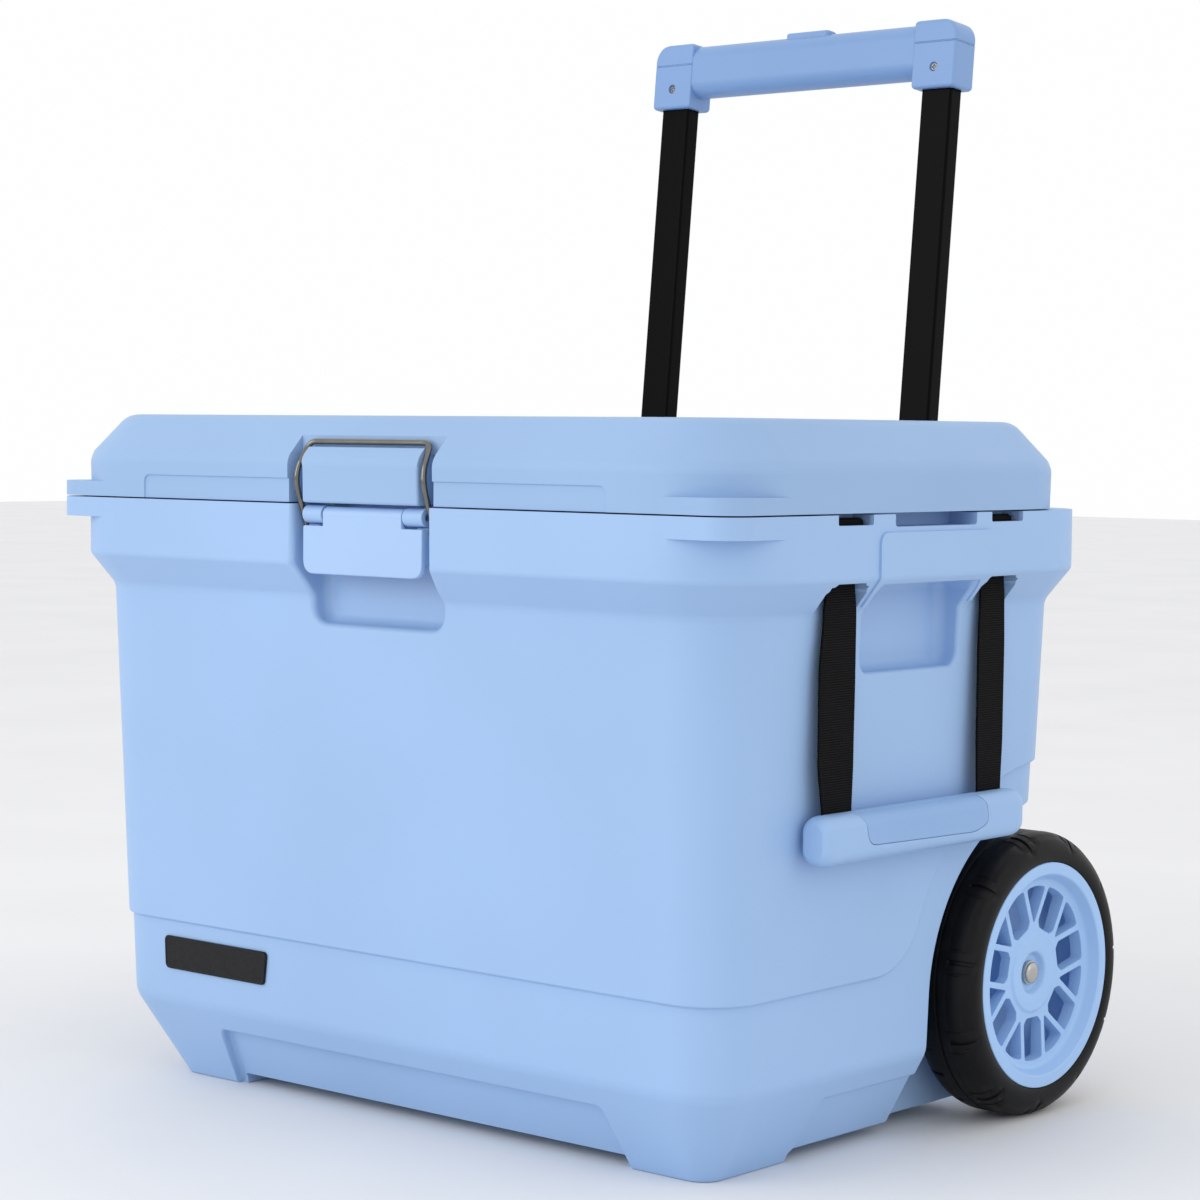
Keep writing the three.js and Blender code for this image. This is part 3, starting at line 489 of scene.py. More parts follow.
# ---- body
def between(z, table):
    """Linear look-up in (height, value) pairs."""
    for (z0, v0), (z1, v1) in zip(table, table[1:]):
        if z <= z1:
            t = max(0.0, (z - z0) / (z1 - z0))
            return v0 + t * (v1 - v0)
    return table[-1][1]


# (height, plan radius) up the body.
BODY_CORNERS = [(0, 17), (62, 39), (124, 41), (367, 48), (390, 66), (RIM_TOP, 66)]


def body_rings(profile, radii, extra=0.0):
    rings = []
    for inset, z in filleted(profile, radii, 6):
        e = inset + extra
        r = max(6.0, between(z, BODY_CORNERS) - extra)
        rings.append(plan(e - HALF, HALF - e, e, DEPTH - e, r, r, z))
    return rings


# (inset from the rim's face, height), with a fillet radius for each point.
BODY_PROFILE = [(64.5, 0), (30, 62), (18.2, 367), (0, 390), (0, RIM_TOP)]
BODY_FILLETS = [0, 22, 11, 6, 0]
body = loft("body", body_rings(BODY_PROFILE, BODY_FILLETS))

# Below the belt line, which climbs over each wheel as an arch, the wall steps in by 3 mm.
belt = (
    [(-60, -60), (-60, 122)]
    + arc(196.9, 172, 50, -90, -20.6, 10)
    + arc(386, 101, 152, 159.4, 62, 26)[1:]
    + [(540, 220), (540, -60)]
)
under_belt = prism("under_belt", "x", belt, -420, 420)
core = loft("core", body_rings([(67.3, -5), (30, 62), (18.2, 367)], [0, 22, 0], 3.0))
combine(under_belt, [core])
combine(body, [under_belt])


def corner_tabs(name, z0, z1):
    """The small square-cornered ledges where the rim and lid meet at the front."""
    outline = arc(HALF - 23, 23, 23, -90, 0, 10) + [
        (HALF - 1.0, 62), (300, 62), (297, 40), (280, 23), (258, 18), (258, 1.6),
    ]
    right = prism(name, "z", outline, z0, z1)
    left = mirror_x(right, name + "_l")
    return right, left


combine(body, corner_tabs("tab", 417, RIM_TOP), "UNION")

# The slightly proud panel on each end of the rim, running down over the chamfer.
for side in (1, -1):
    proud = loft("proud", body_rings(BODY_PROFILE[1:], [0, 11, 6, 0], -1.6))
    face = smooth_closed([(154, 371), (283, 371), (283, 419.5), (154, 419.5)], [0, 0, 8, 8], 6)
    keep = prism("keep", "x", face, side * 290, side * 345)
    combine(proud, [keep], "INTERSECT")
    combine(body, [proud], "UNION")


def feet_gap():
    """Everything under the body but the two front feet; pairs are (x, d)."""
    outline = [
        (-184, -20), (184, -20), (184, 150), (420, 150),
        (420, 520), (-420, 520), (-420, 150), (-184, 150),
    ]
    return prism("feet_gap", "z", outline, -6, 8)


def ring_box(x0, x1, d0, d1, z):
    return [pt(x0, d0, z), pt(x1, d0, z), pt(x1, d1, z), pt(x0, d1, z)]


front_recess = loft("front_recess", [
    ring_box(-x, x, 20, d, z) for x, d, z in ((191, 74, -6), (190, 71, 5), (182, 50.5, 44))
])
end_recesses = [
    loft("end_recess", [
        ring_box(*sorted((s * x, s * 360)), d, 268, z)
        for x, d, z in ((248, 152, -6), (252, 152, 4), (274.5, 158, 45))
    ])
    for s in (1, -1)
]
WELL = [(264, -30)] + arc(386, 101, 122, 180, 90, 40) + [(540, 223), (540, -30)]
wells = [prism("well", "x", WELL, s * 242, s * 360) for s in (1, -1)]


def wall_depth(z):
    """How far the front or end wall stands back from the rim's face at height z."""
    return between(z, [(62, 30), (367, 18.2), (390, 0), (RIM_TOP, 0)])


def grown(outline, by, step=4.0):
    """A closed outline pushed out along its own normals and cut into short segments."""
    n = len(outline)
    moved = []
    for k, (u, v) in enumerate(outline):
        (u0, v0), (u1, v1) = outline[k - 1], outline[(k + 1) % n]
        t = Vector((u1 - u0, v1 - v0)).normalized()
        moved.append((u + t.y * by, v - t.x * by))
    out = []
    for k in range(n):
        (u0, v0), (u1, v1) = moved[k - 1], moved[k]
        cuts = max(1, math.ceil(math.dist(outline[k - 1], outline[k]) / step))
        out += [(u0 + (u1 - u0) * i / cuts, v0 + (v1 - v0) * i / cuts) for i in range(1, cuts + 1)]
    return out


def mouth(r, n=5):
    """(outward growth, depth below the wall) down a rounded mouth, from just outside it."""
    steps = [(r + CLEAR, -0.25)]
    for i in range(1, n + 1):
        a = math.pi / 2 * i / n
        steps.append((r * (1 - math.sin(a)), r * (1 - math.cos(a))))
    return steps


# Pairs are (x, z).
LATCH_POCKET = smooth_closed([
    (-61.5, 349), (61.5, 349), (61.5, 376), (64.6, 390),
    (65, 446), (-65, 446), (-64.6, 390), (-61.5, 376),
], [13, 13, 0, 0, 0, 0, 0, 0], 8)


def floor_fillet(r, n=5):
    """(inset, depth short of the floor) pairs for a rounded pocket floor."""
    turns = [i * math.pi / 2 / n for i in range(n + 1)]
    return [(r * (1 - math.cos(a)), r * (1 - math.sin(a))) for a in turns]


POCKET_MOUTH, POCKET_FLOOR = 4.8, 33
FINGER_MOUTH, FINGER_FLOOR, FINGER_TOP = 3.2, 284.5, 386
FLOOR_R = 8
CLEAR = 0.6  # how far a mouth starts outside its own edge
pocket_rings = [[pt(x, -20, z) for x, z in grown(LATCH_POCKET, POCKET_MOUTH + CLEAR)]]
for grow, below in mouth(POCKET_MOUTH):
    pocket_rings.append([pt(x, wall_depth(z) + below, z) for x, z in grown(LATCH_POCKET, grow)])
for inset, short in floor_fillet(FLOOR_R):
    pocket_rings.append([pt(x, POCKET_FLOOR - short, z) for x, z in grown(LATCH_POCKET, -inset)])
pocket = loft("latch_pocket", pocket_rings)
finger_pockets = []
for s in (1, -1):
    shape = rounded(162, 272, 327.5, FINGER_TOP, (9, 9, 8.2, 8.2), 8)
    rings = [[pt(s * 350, d, min(z, FINGER_TOP)) for d, z in grown(shape, FINGER_MOUTH + CLEAR)]]
    for grow, below in mouth(FINGER_MOUTH):
        rings.append([
            pt(s * (HALF - wall_depth(z) - below), d, min(z, FINGER_TOP)) for d, z in grown(shape, grow)
        ])
    for inset, short in floor_fillet(FLOOR_R):
        rings.append([pt(s * (FINGER_FLOOR + short), d, z) for d, z in grown(shape, -inset)])
    finger_pockets.append(loft("finger_pocket", rings))

# The straps' channels: a scoop under the rim, a duct up through it and a notch at its top.
channels = []
for s in (1, -1):
    for d in STRAPS:
        slope = [
            (d - 22, 366), (d + 22, 366), (d + 22, 381), (d + 15, 387.5), (d - 15, 387.5), (d - 22, 381),
        ]
        channels.append(prism("slope", "x", slope, s * 302, s * 350))
        channels.append(box("duct", *sorted((s * 302.2, s * 316.4)), d - 20, d + 20, 379, 446))
        notch = rounded(d - 19, d + 19, 424.5, 450, 1.5, 3)
        channels.append(prism("notch", "x", notch, s * 310.5, s * 350))
    channels.append(prism("wide_notch", "x", rounded(171, 265, 423, 450, 2.5, 3), s * 297, s * 350))

combine(body, [feet_gap(), front_recess, *end_recesses, *wells, pocket, *finger_pockets, *channels])

# Room for the food liner: a deep tub that steps in over the wheels, and its flange on the rim.
LEDGE = 392.0  # the hinge ledge behind the lid opening starts here


def tub(name, grow, floor, top, r_floor=0.0):
    """The tub's outside, grown by some mm, with the wheel steps cut out of it."""
    def ring(z, inset):
        lean = 16 * (1 - (z - 47) / 393)
        g = grow - inset
        r = max(5, 30 + g)
        x, d0, d1 = 268 - lean + g, 52 + lean * 0.5 - g, 366 - lean * 0.6 + g
        return plan(-x, x, d0, d1, r, r, z, 10)

    start = [(floor, 0)]
    if r_floor:
        start = [(floor + short, inset) for inset, short in reversed(floor_fillet(r_floor))]
    obj = loft(name, [ring(z, inset) for z, inset in start] + [ring(top, 0)])
    d, z = WHEEL
    r = 147 - grow
    steps = [(d - r, -40)] + arc(d, z, r, 180, 90, 24) + [(560, z + r), (560, -40)]
    return combine(obj, [prism("steps", "x", steps, s * (219 + grow), s * 380) for s in (1, -1)])


def flange(name, grow, z0, z1):
    """The liner's flange on the rim, notched for the latch, the straps and the finger lips."""
    notches = [(-76 + grow, 76 - grow, 0, 42 - grow)]
    for s in (1, -1):
        for d in STRAPS:
            notches.append((*sorted((s * (293 + grow), s * 340)), d - 30 + grow, d + 30 - grow))
        notches.append((*sorted((s * (288 + grow), s * 340)), 163 + grow, 273 - grow))
    x, d0, d1 = 296 + grow, 24 - grow, LEDGE - 0.3 + grow
    obj = loft(name, [plan(-x, x, d0, d1, 40, 4, z) for z in (z0, z1)])
    return combine(obj, [box("notch", *sides, 400, 450) for sides in notches])


combine(body, [tub("tub_room", 3.4, 43.6, 450), flange("flange_room", 0.5, 426.8, 450)])
drain_room = cylinder("drain_room", "x", DRAIN, 10.3, -330, -180)
combine(body, [drain_room])


def in_front_recess(x, d, z):
    return abs(x) < 195 and d < 80 and z < 50


bevel(body, 2.2, 4, lambda x, d, z: in_front_recess(x, d, z) and z > 12)
bevel(body, 1.5, 3, lambda x, d, z: z < 300 and not in_front_recess(x, d, z))
shade(body)
place(body, "cooler_body", mat_body, "body_blue", "body_shell", "body_foam")


def turned(name, axis, center, profile, segments=40):
    """A solid of revolution about an x or y line; profile is (along, radius)."""
    rings = []
    for a, r in profile:
        ring = []
        for i in range(segments):
            t = 2 * math.pi * i / segments
            u, v = center[0] + r * math.cos(t), center[1] + r * math.sin(t)
            ring.append(pt(a, u, v) if axis == "x" else pt(u, a, v))
        rings.append(ring)
    return loft(name, rings)


def barrel(name, x0, x1, center, r, edge=0.8):
    """A short round bar along x with softened ends."""
    profile = [(x0, r - edge), (x0 + edge * 0.3, r - edge * 0.3), (x0 + edge, r),
               (x1 - edge, r), (x1 - edge * 0.3, r - edge * 0.3), (x1, r - edge)]
    return turned(name, "x", center, profile)


# Latch knuckles at the top of the pocket, bored for the lever's pin, and the lid's hinge knuckles.
for side, s in SIDES:
    x0, x1 = sorted((s * 38.6, s * 57))
    knuckle = barrel("latch_knuckle_" + side, x0, x1, LEVER_PIVOT, 6.2)
    combine(knuckle, [box("web", x0 + 0.6, x1 - 0.6, 9, 36, 421.8, 427.4)], "UNION")
    combine(knuckle, [cylinder("bore", "x", LEVER_PIVOT, 2.7, x0 - 5, x1 + 5, 28)])
    shade(knuckle)
    place(knuckle, "cooler_body", mat_body, "body_blue")
    for k, (a, b) in enumerate(((172, 189), (225, 242))):
        x0, x1 = sorted((s * a, s * b))
        hinge = barrel(f"hinge_knuckle_{side}_{k}", x0, x1, HINGE, 6.3)
        sides = [(403.5, 430), (418, 430), (416.3, 440), (404.5, 440)]
        foot = prism("foot", "x", sides, x0 + 0.5, x1 - 0.5)
        combine(hinge, [foot], "UNION")
        shade(hinge)
        place(hinge, "cooler_body", mat_body, "body_blue")

# ---- liner, gasket, drain, plate
liner = tub("liner", 3, 44, 430)
combine(liner, [flange("flange", 0, 427.2, 430.9)], "UNION")
strainer = [DRAIN] + [
    (DRAIN[0] + 5.2 * math.cos(a), DRAIN[1] + 5.2 * math.sin(a))
    for a in (math.radians(60 * k) for k in range(6))
]
combine(liner, [tub("hollow", 0, 47, 450, 14)]
        + [cylinder("hole", "x", at, 1.5, -330, -180, 16) for at in strainer])
bevel(liner, 2.2, 3, lambda x, d, z: z < 430.5 or (abs(x) < 272 and 48 < d < 370), 35)
shade(liner)
place(liner, "cooler_body", mat_liner, "liner_white", "body_liner")

plug = turned("drain_plug_cap", "x", DRAIN, [
    (-257, 8.6), (-257.8, 9.4), (-290.3, 9.4), (-290.3, 15.2), (-291, 16), (-294.2, 16), (-294.9, 15.2),
])
wing = prism("wing", "x", rounded(127.9, 132.1, 56, 78, 1.9, 5), -299.2, -293.5)
combine(plug, [wing], "UNION")
bevel(plug, 0.5, 2)
shade(plug)
place(plug, "drain", mat_black_plastic, "black_plastic", "drain_plug")
seal = turned("drain_washer", "x", DRAIN, [
    (-288.8, 9.9), (-288.8, 13.0), (-289.2, 13.4), (-289.7, 13.4), (-290, 13), (-290, 9.9),
])
shade(seal)
place(seal, "cooler_body", mat_gasket, "rubber", "drain_seal")

# Plain name plate with a slightly raised rim, lying on the sloping wall.
PLATE = smooth_closed([(-54.5, -12.2), (50.8, -12.2), (54.8, 12.2), (-54.5, 12.2)], [4, 4, 4, 4], 6)


def plate_ring(by, out):
    """The plate's outline drawn in by some mm, standing out from the wall."""
    ring = []
    for u, v in PLATE:
        u, v = u * (1 - by / 54.5), v * (1 - by / 12.2)
        ring.append(pt(-174.5 + u, 31.1 - v * 0.044 - out, 98 + v))
    return ring


levels = [(0, -0.2), (0, 0.9), (0.35, 1.45), (1.2, 1.5), (1.6, 1.15), (2.2, 1.1)]
plate = loft("name_plate", [plate_ring(by, out) for by, out in levels])
shade(plate)
place(plate, "cooler_body", mat_plate, "black_plastic", "badge")

# ---- lid
# The same for the lid: (inset, height), then (height, plan radius).
LID_PROFILE = [(0.8, 432.2), (0, 462.3), (27.6, 492), (60, 492)]
LID_CORNERS = [(432.2, 65.2), (462.3, 66), (489.6, 41), (492, 37)]


def lid_rings():
    rings = []
    for inset, z in filleted(LID_PROFILE, [0, 14, 16, 0], 6):
        r = between(z, LID_CORNERS)
        if inset > 32:
            r = 37 - (inset - 32) * 0.9
        r = max(8, r)
        rings.append(plan(inset - HALF, HALF - inset, inset, LID_DEPTH - inset, r, r, z))
    return rings


lid = loft("lid_cover", lid_rings())
combine(lid, corner_tabs("tab", 432.2, 443), "UNION")
# The keeper at the front: a recess behind the bail's bar and a channel for each of its legs.
recess_section = [(-20, 461), (1.5, 466), (7.2, 470.2), (14.4, 471), (17.5, 520), (-20, 520)]
keeper_cuts = [prism("recess", "x", recess_section, -69, 69)]
for s in (1, -1):
    keeper_cuts.append(box("channel", *sorted((s * 55.2, s * 69)), -20, 17.5, 420, 466))
    keeper_cuts.append(box("pass", *sorted((s * 55.2, s * 68.9)), -20, 14.4, 460, 474))
    groove = rounded(*sorted((s * 60, s * 219)), 420, 448.5, 5, 6)
    keeper_cuts.append(prism("groove", "y", groove, -10, 1.9))
combine(lid, keeper_cuts)
for s in (1, -1):
    x0, x1 = sorted((s * 189.5, s * 224.5))
    lug = barrel("lug", x0, x1, HINGE, 6.3)
    combine(lug, [box("arm", x0 + 0.4, x1 - 0.4, 396, 410, 434.6, 444.4)], "UNION")
    combine(lid, [lug], "UNION")
under = [plan(-296, 296, 24, 379, 40, 40, z) for z in (431, 437.9)]
combine(lid, [loft("under", under)])
bevel(lid, 0.7, 2, lambda x, d, z: 70 < abs(x) < 224 and d < 3 and 433.5 < z < 452)
bevel(lid, 2.0, 3, lambda x, d, z: abs(x) < 56 and d < 24 and z < 458)
shade(lid)
place(lid, "lid", mat_lid, "body_blue", "lid_shell", "lid_foam")


def panel_ring(i, z):
    """The lid liner's outer plate, drawn in by i."""
    return plan(-295.6 + i, 295.6 - i, 24.4 + i, 378.6 - i, 40 - i, 40 - i, z, 10)


def plug_ring(i, z):
    """The plug that hangs into the tub, drawn in by i; it ends in a shallow dish."""
    r = max(6, 28 - i)
    return plan(-264 + i, 264 - i, 56 + i, 362 - i, r, r, z, 10)


PANEL = [(0, 437.8), (0, 433.2), (0.7, 432.5)]
PLUG = [
    (-2.5, 432.5), (-0.6, 431.6), (0, 430), (0.9, 425), (1.4, 422.8), (3.2, 421.2), (5, 421),
    (14, 421), (16, 421.4), (17.5, 425.2), (20, 426.5),
]
lid_liner = loft("lid_liner_panel", [panel_ring(*p) for p in PANEL] + [plug_ring(*p) for p in PLUG])
combine(lid_liner, [box("n", -76, 76, 0, 42, 400, 450)])
shade(lid_liner, 40)
place(lid_liner, "lid", mat_liner, "liner_white", "lid_liner")

# Gasket: a soft round-backed bead in its groove under the lid.
bead = []
for k in range(10):
    a = 2 * math.pi * k / 10
    g, z = 3.0 * math.cos(a), 433.6 + 2.1 * math.sin(a)
    bead.append(plan(-276 - g, 276 + g, 44 - g, 374 + g, 38 + g, 38 + g, z, 12))
gasket = loft("gasket_bead", bead, closed=True)
shade(gasket, 60)
place(gasket, "lid", mat_gasket, "rubber", "lid_gasket")

# ---- latch
# Pairs are (x, z).
LEVER = smooth_closed([
    (-57, 383.5), (57, 383.5), (57, 416.6), (37.6, 416.6),
    (37.6, 424.3), (-37.6, 424.3), (-37.6, 416.6), (-57, 416.6),
], [10, 10, 1.2, 0.8, 0, 0, 0.8, 1.2], 8)
rings = []
for inset, d in ((1.6, 3.4), (0.5, 3.75), (0, 4.6), (0, 7.0), (0.4, 7.4)):
    rings.append([pt(x * (1 - inset / 57), d, 402 + (z - 402) * (1 - inset / 20)) for x, z in LEVER])
lever = loft("lever", rings)
parts = [barrel("tube", -37.6, 37.6, LEVER_PIVOT, 5.6)]
for s in (1, -1):
    x0, x1 = sorted((s * 46.5, s * 57))
    ear = barrel("ear", x0, x1, BAIL_PIVOT, 4.4, 0.5)
    combine(ear, [box("arm", x0 + 0.3, x1 - 0.3, 5, 12.4, 409, 416.4)], "UNION")
    parts.append(ear)
    parts.append(box("cheek", *sorted((s * 53.5, s * 56.9)), 5, 11, 393, 412))
combine(lever, parts, "UNION")
combine(lever, [cylinder("bore", "x", LEVER_PIVOT, 2.3, -60, 60, 24)]
        + [cylinder("eye", "x", BAIL_PIVOT, 2.35, *sorted((s * 44, s * 62)), 24) for s in (1, -1)])
shade(lever, 36)
place(lever, "lever", mat_lever, "body_blue", "latch_lever")


def wire(name, points, radii, r, sides=20):
    """A round wire along a path with rounded corners, as a mesh."""
    path = [points[0]]
    for k in range(1, len(points) - 1):
        q = points[k]
        a, b = points[k - 1] - q, points[k + 1] - q
        cut = min(radii[k] * MM, 0.45 * a.length, 0.45 * b.length)
        path += bend(q + a.normalized() * cut, q, q + b.normalized() * cut, 10)
    path.append(points[-1])
    turns = [2 * math.pi * i / sides for i in range(sides)]
    rings = []
    side = None
    for k, p in enumerate(path):
        along = (path[min(k + 1, len(path) - 1)] - path[max(k - 1, 0)]).normalized()
        if side is None:
            side = along.orthogonal().normalized()
        side = (side - along * side.dot(along)).normalized()
        up = along.cross(side)
        rings.append([p + (side * math.cos(a) + up * math.sin(a)) * r * MM for a in turns])
    return loft(name, rings)


# (x, d, z) along the wire, from one ear of the lever to the other.
BAIL = [(-47, 12.4, 413.6), (-60.8, 12.4, 413.6), (-60.8, -1, 451), (-57.5, 11, 474),
        (57.5, 11, 474), (60.8, -1, 451), (60.8, 12.4, 413.6), (47, 12.4, 413.6)]
bail = wire("bail_wire", [pt(*p) for p in BAIL], [0, 3.2, 12, 6.5, 6.5, 12, 3.2, 0], 1.95)
shade(bail, 60, False)
place(bail, "bail", mat_steel, "steel", "latch_bail")


# ---- end carry handles
# Half of the webbing's section at one edge: (inset from the edge, side of the strap, -1 to 1).
SELVEDGE = [(0.35, 1), (0, 1), (-0.28, 0.55), (-0.28, -0.55), (0, -1), (0.35, -1)]


def sweep(name, path, widths, thick, d):
    """Flat webbing along a path of (x, z); widths give (front edge, rear edge) from d."""
    rings = []
    for k, (x, z) in enumerate(path):
        a, b = path[max(k - 1, 0)], path[min(k + 1, len(path) - 1)]
        along = Vector((b[0] - a[0], b[1] - a[1])).normalized()
        nx, nz = along.y * thick / 2, -along.x * thick / 2
        front, rear = widths(z)
        ring = [(inset - front, side) for inset, side in SELVEDGE]
        ring += [(rear - inset, side) for inset, side in reversed(SELVEDGE)]
        rings.append([pt(x + nx * side, d + across, z + nz * side) for across, side in ring])
    return loft(name, rings)


def taper(table):
    """Smooth steps through rows of (height, front edge, rear edge)."""
    def widths(z):
        for (z0, f0, r0), (z1, f1, r1) in zip(table, table[1:]):
            if z <= z1:
                t = max(0.0, (z - z0) / (z1 - z0))
                t = t * t * (3 - 2 * t)
                return f0 + t * (f1 - f0), r0 + t * (r1 - r0)
        return table[-1][1:]
    return widths


STRAP_WIDTHS = {
    "front": taper([(222, 14.5, 14.5), (236, 15.5, 15), (276, 20.3, 16.4), (330, 20.3, 17.2),
                    (366, 16.8, 17.4), (392, 12.6, 15.0), (415, 12.2, 14.2)]),
    "rear": taper([(222, 12.5, 13), (240, 13.6, 14.2), (280, 14.6, 16), (340, 14.4, 16.4),
                   (372, 13.2, 15.6), (398, 11.8, 12.8), (415, 11.6, 12)]),
}


def strap_path():
    """(x, z) up from the grip, over the anchor and down inside the rim."""
    hanging = [(WEB_X, 222 + 2.0 * k) for k in range(98)]
    over = [(311 + 3.5 * math.cos(a), 425 + 3.5 * math.sin(a))
            for a in (math.radians(180 - 15 * k) for k in range(13))]
    tail = [(314.3, 421.5), (313.2, 416.5), (311.2, 412), (309.7, 408.5), (309.45, 405), (309.4, 401.5)]
    return hanging + over + tail


# (depth, scale of the section): both ends of the carry grip are domed.
GRIP_ENDS = [
    (100, 0.62), (100.5, 0.74), (101.8, 0.85), (104, 0.93), (107.5, 0.985), (112, 1),
    (318, 1), (322.5, 0.985), (326, 0.93), (328.2, 0.85), (329.5, 0.74), (330, 0.62),
]


def grip_bar(name):
    section = rounded(-11, 11, -16.4, 16.4, 9.5, 8)
    return loft(name, [[pt(309.8 + x * k, d, 223.8 + z * k) for x, z in section] for d, k in GRIP_ENDS])


INSERT = [(128, 244), (143, 235), (147, 218.5), (268, 216), (285, 221), (281, 237), (268, 244)]


def insert_block(name, grow):
    """The outline of the grip's panel pushed through it, grown away from its middle."""
    outline = []
    for u, v in smooth_closed(INSERT, [1, 12, 10, 30, 7, 12, 1], 9):
        outline.append((u + (grow if u > 212 else -grow), v + (grow if v > 231 else -grow)))
    return prism(name, "x", outline, 314.5 - grow, 335)


def grip_mesh(name):
    obj = grip_bar(name)
    slots = [box("slot", 306.2, 308.8, d - 17.5, d + 17.5, 225.5, 260) for d in STRAPS]
    return combine(obj, slots + [insert_block("recess", 0.28)])


for side, s in SIDES:
    grip = grip_mesh("carry_grip_body_" + side)
    insert = grip_bar("grip_panel_" + side)
    combine(insert, [insert_block("keep", 0)], "INTERSECT")
    bevel(grip, 0.35, 2, lambda x, d, z: abs(x) > 317, 40)
    bevel(insert, 0.3, 2, lambda x, d, z: abs(x) > 317, 40)
    if s < 0:
        for obj in (grip, insert):
            flip_x(obj.data)
    shade(grip, 36)
    shade(insert, 36)
    place(grip, "carry_" + side, mat_grip, "handle_blue", "carry_grip_" + side)
    place(insert, "carry_" + side, mat_insert, "handle_blue", "grip_insert_" + side)
    for where, d in zip(("front", "rear"), STRAPS):
        strap = sweep(f"webbing_{side}_{where}", strap_path(), STRAP_WIDTHS[where], 1.7, d)
        if s < 0:
            flip_x(strap.data)
        shade(strap, 50, False)
        strap.data.materials.append(mat_webbing)
        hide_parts(f"strap_{side}_{where}", f"strap_anchor_{side}_{where}")
        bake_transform(strap)

# ---- pull handle
LEAN = math.atan(0.096)


def leaned(u, v, w):
    """A point in the handle's own axes: u across, v back and w up the leaning tubes."""
    y = v * math.cos(LEAN) + w * math.sin(LEAN)
    z = -v * math.sin(LEAN) + w * math.cos(LEAN)
    return Vector((u * MM, (FRONT + 470 + y) * MM, (492 + z) * MM))


def lean_loft(name, sections):
    """Skins rings of (u, v, w) points."""
    return loft(name, [[leaned(*p) for p in ring] for ring in sections])


def lean_post(name, u, width, depth, r, w0, w1, edge=0.0, n=5):
    """A post up the handle's axis, its ends chamfered by edge."""
    sections = []
    levels = [(w0, edge), (w0 + edge, 0), (w1 - edge, 0), (w1, edge)] if edge else [(w0, 0), (w1, 0)]
    for w, i in levels:
        outline = rounded(-width / 2 + i, width / 2 - i, -depth / 2 + i, depth / 2 - i, max(0.3, r - i), n)
        sections.append([(u + a, b, w) for a, b in outline])
    return lean_loft(name, sections)


def lean_bar(name, u0, u1, depth, w0, w1, r, n=10):
    outline = rounded(-depth, depth, w0, w1, r, n)
    return lean_loft(name, [[(u, v, w) for v, w in outline] for u in (u0, u1)])


def lean_pin(name, u, v0, v1, w, r, n=32):
    circle = [(r * math.cos(2 * math.pi * i / n), r * math.sin(2 * math.pi * i / n)) for i in range(n)]
    return lean_loft(name, [[(u + a, v, w + b) for a, b in circle] for v in (v0, v1)])


def elbow_mesh(name):
    """A straight collar with a seam line, then a quarter turn over to the grip bar."""
    levels = []
    for w, i in ((254, 2.2), (254.3, 1.3), (255.1, 0.5), (256.6, 0), (288.9, 0), (289.05, 0.3),
                 (289.65, 0.3), (289.8, 0), (292.5, 0)):
        levels.append((w, -19.5 + i, 19.5 - i, i))
    for k in range(1, 13):
        a = math.radians(90 * k / 12)
        w = 292.5 + 14 * math.sin(a)
        i = 3 - math.sqrt(max(0, 9 - (w - 303.5) ** 2)) if w > 303.5 else 0
        levels.append((w, -19.5 + i, 5.5 + 14 * math.cos(a), i))
    sections = []
    for w, u0, u1, i in levels:
        outline = rounded(TUBE_X + u0, TUBE_X + u1, -13.5 + i, 13.5 - i, (1.2, 2.6, 2.6, 1.2), 5)
        sections.append([(u, v, w) for u, v in outline])
    obj = lean_loft(name, sections)
    tools = [
        lean_post("socket", TUBE_X, 28.1, 15.6, 2, 240, 284),
        lean_pin("screw_room", TUBE_X, -20, -11.6, 270, 3.5),
    ]
    return combine(obj, tools)


bar = lean_bar("handle_bar", -109.3, 109.3, 12.8, 263, 305.3, 12.6, 12)
combine(bar, [
    lean_post("well", 0, 42.8, 13.8, 4, 284.6, 320),
    lean_pin("notch", -60, -30, -9.5, 264.4, 3.2), lean_pin("notch", 63, -30, -9.5, 264.4, 3.2),
])
bevel(bar, 0.6, 2, lambda x, d, z: abs(x) < 100)
shade(bar)
place(bar, "pull_handle", mat_handle, "handle_blue", "grip_bar")
button = lean_post("button_cap", 0, 42, 13, 3.5, 288, 308.3, 0.9, 6)
shade(button)
place(button, "button", mat_handle, "handle_blue", "release_button")

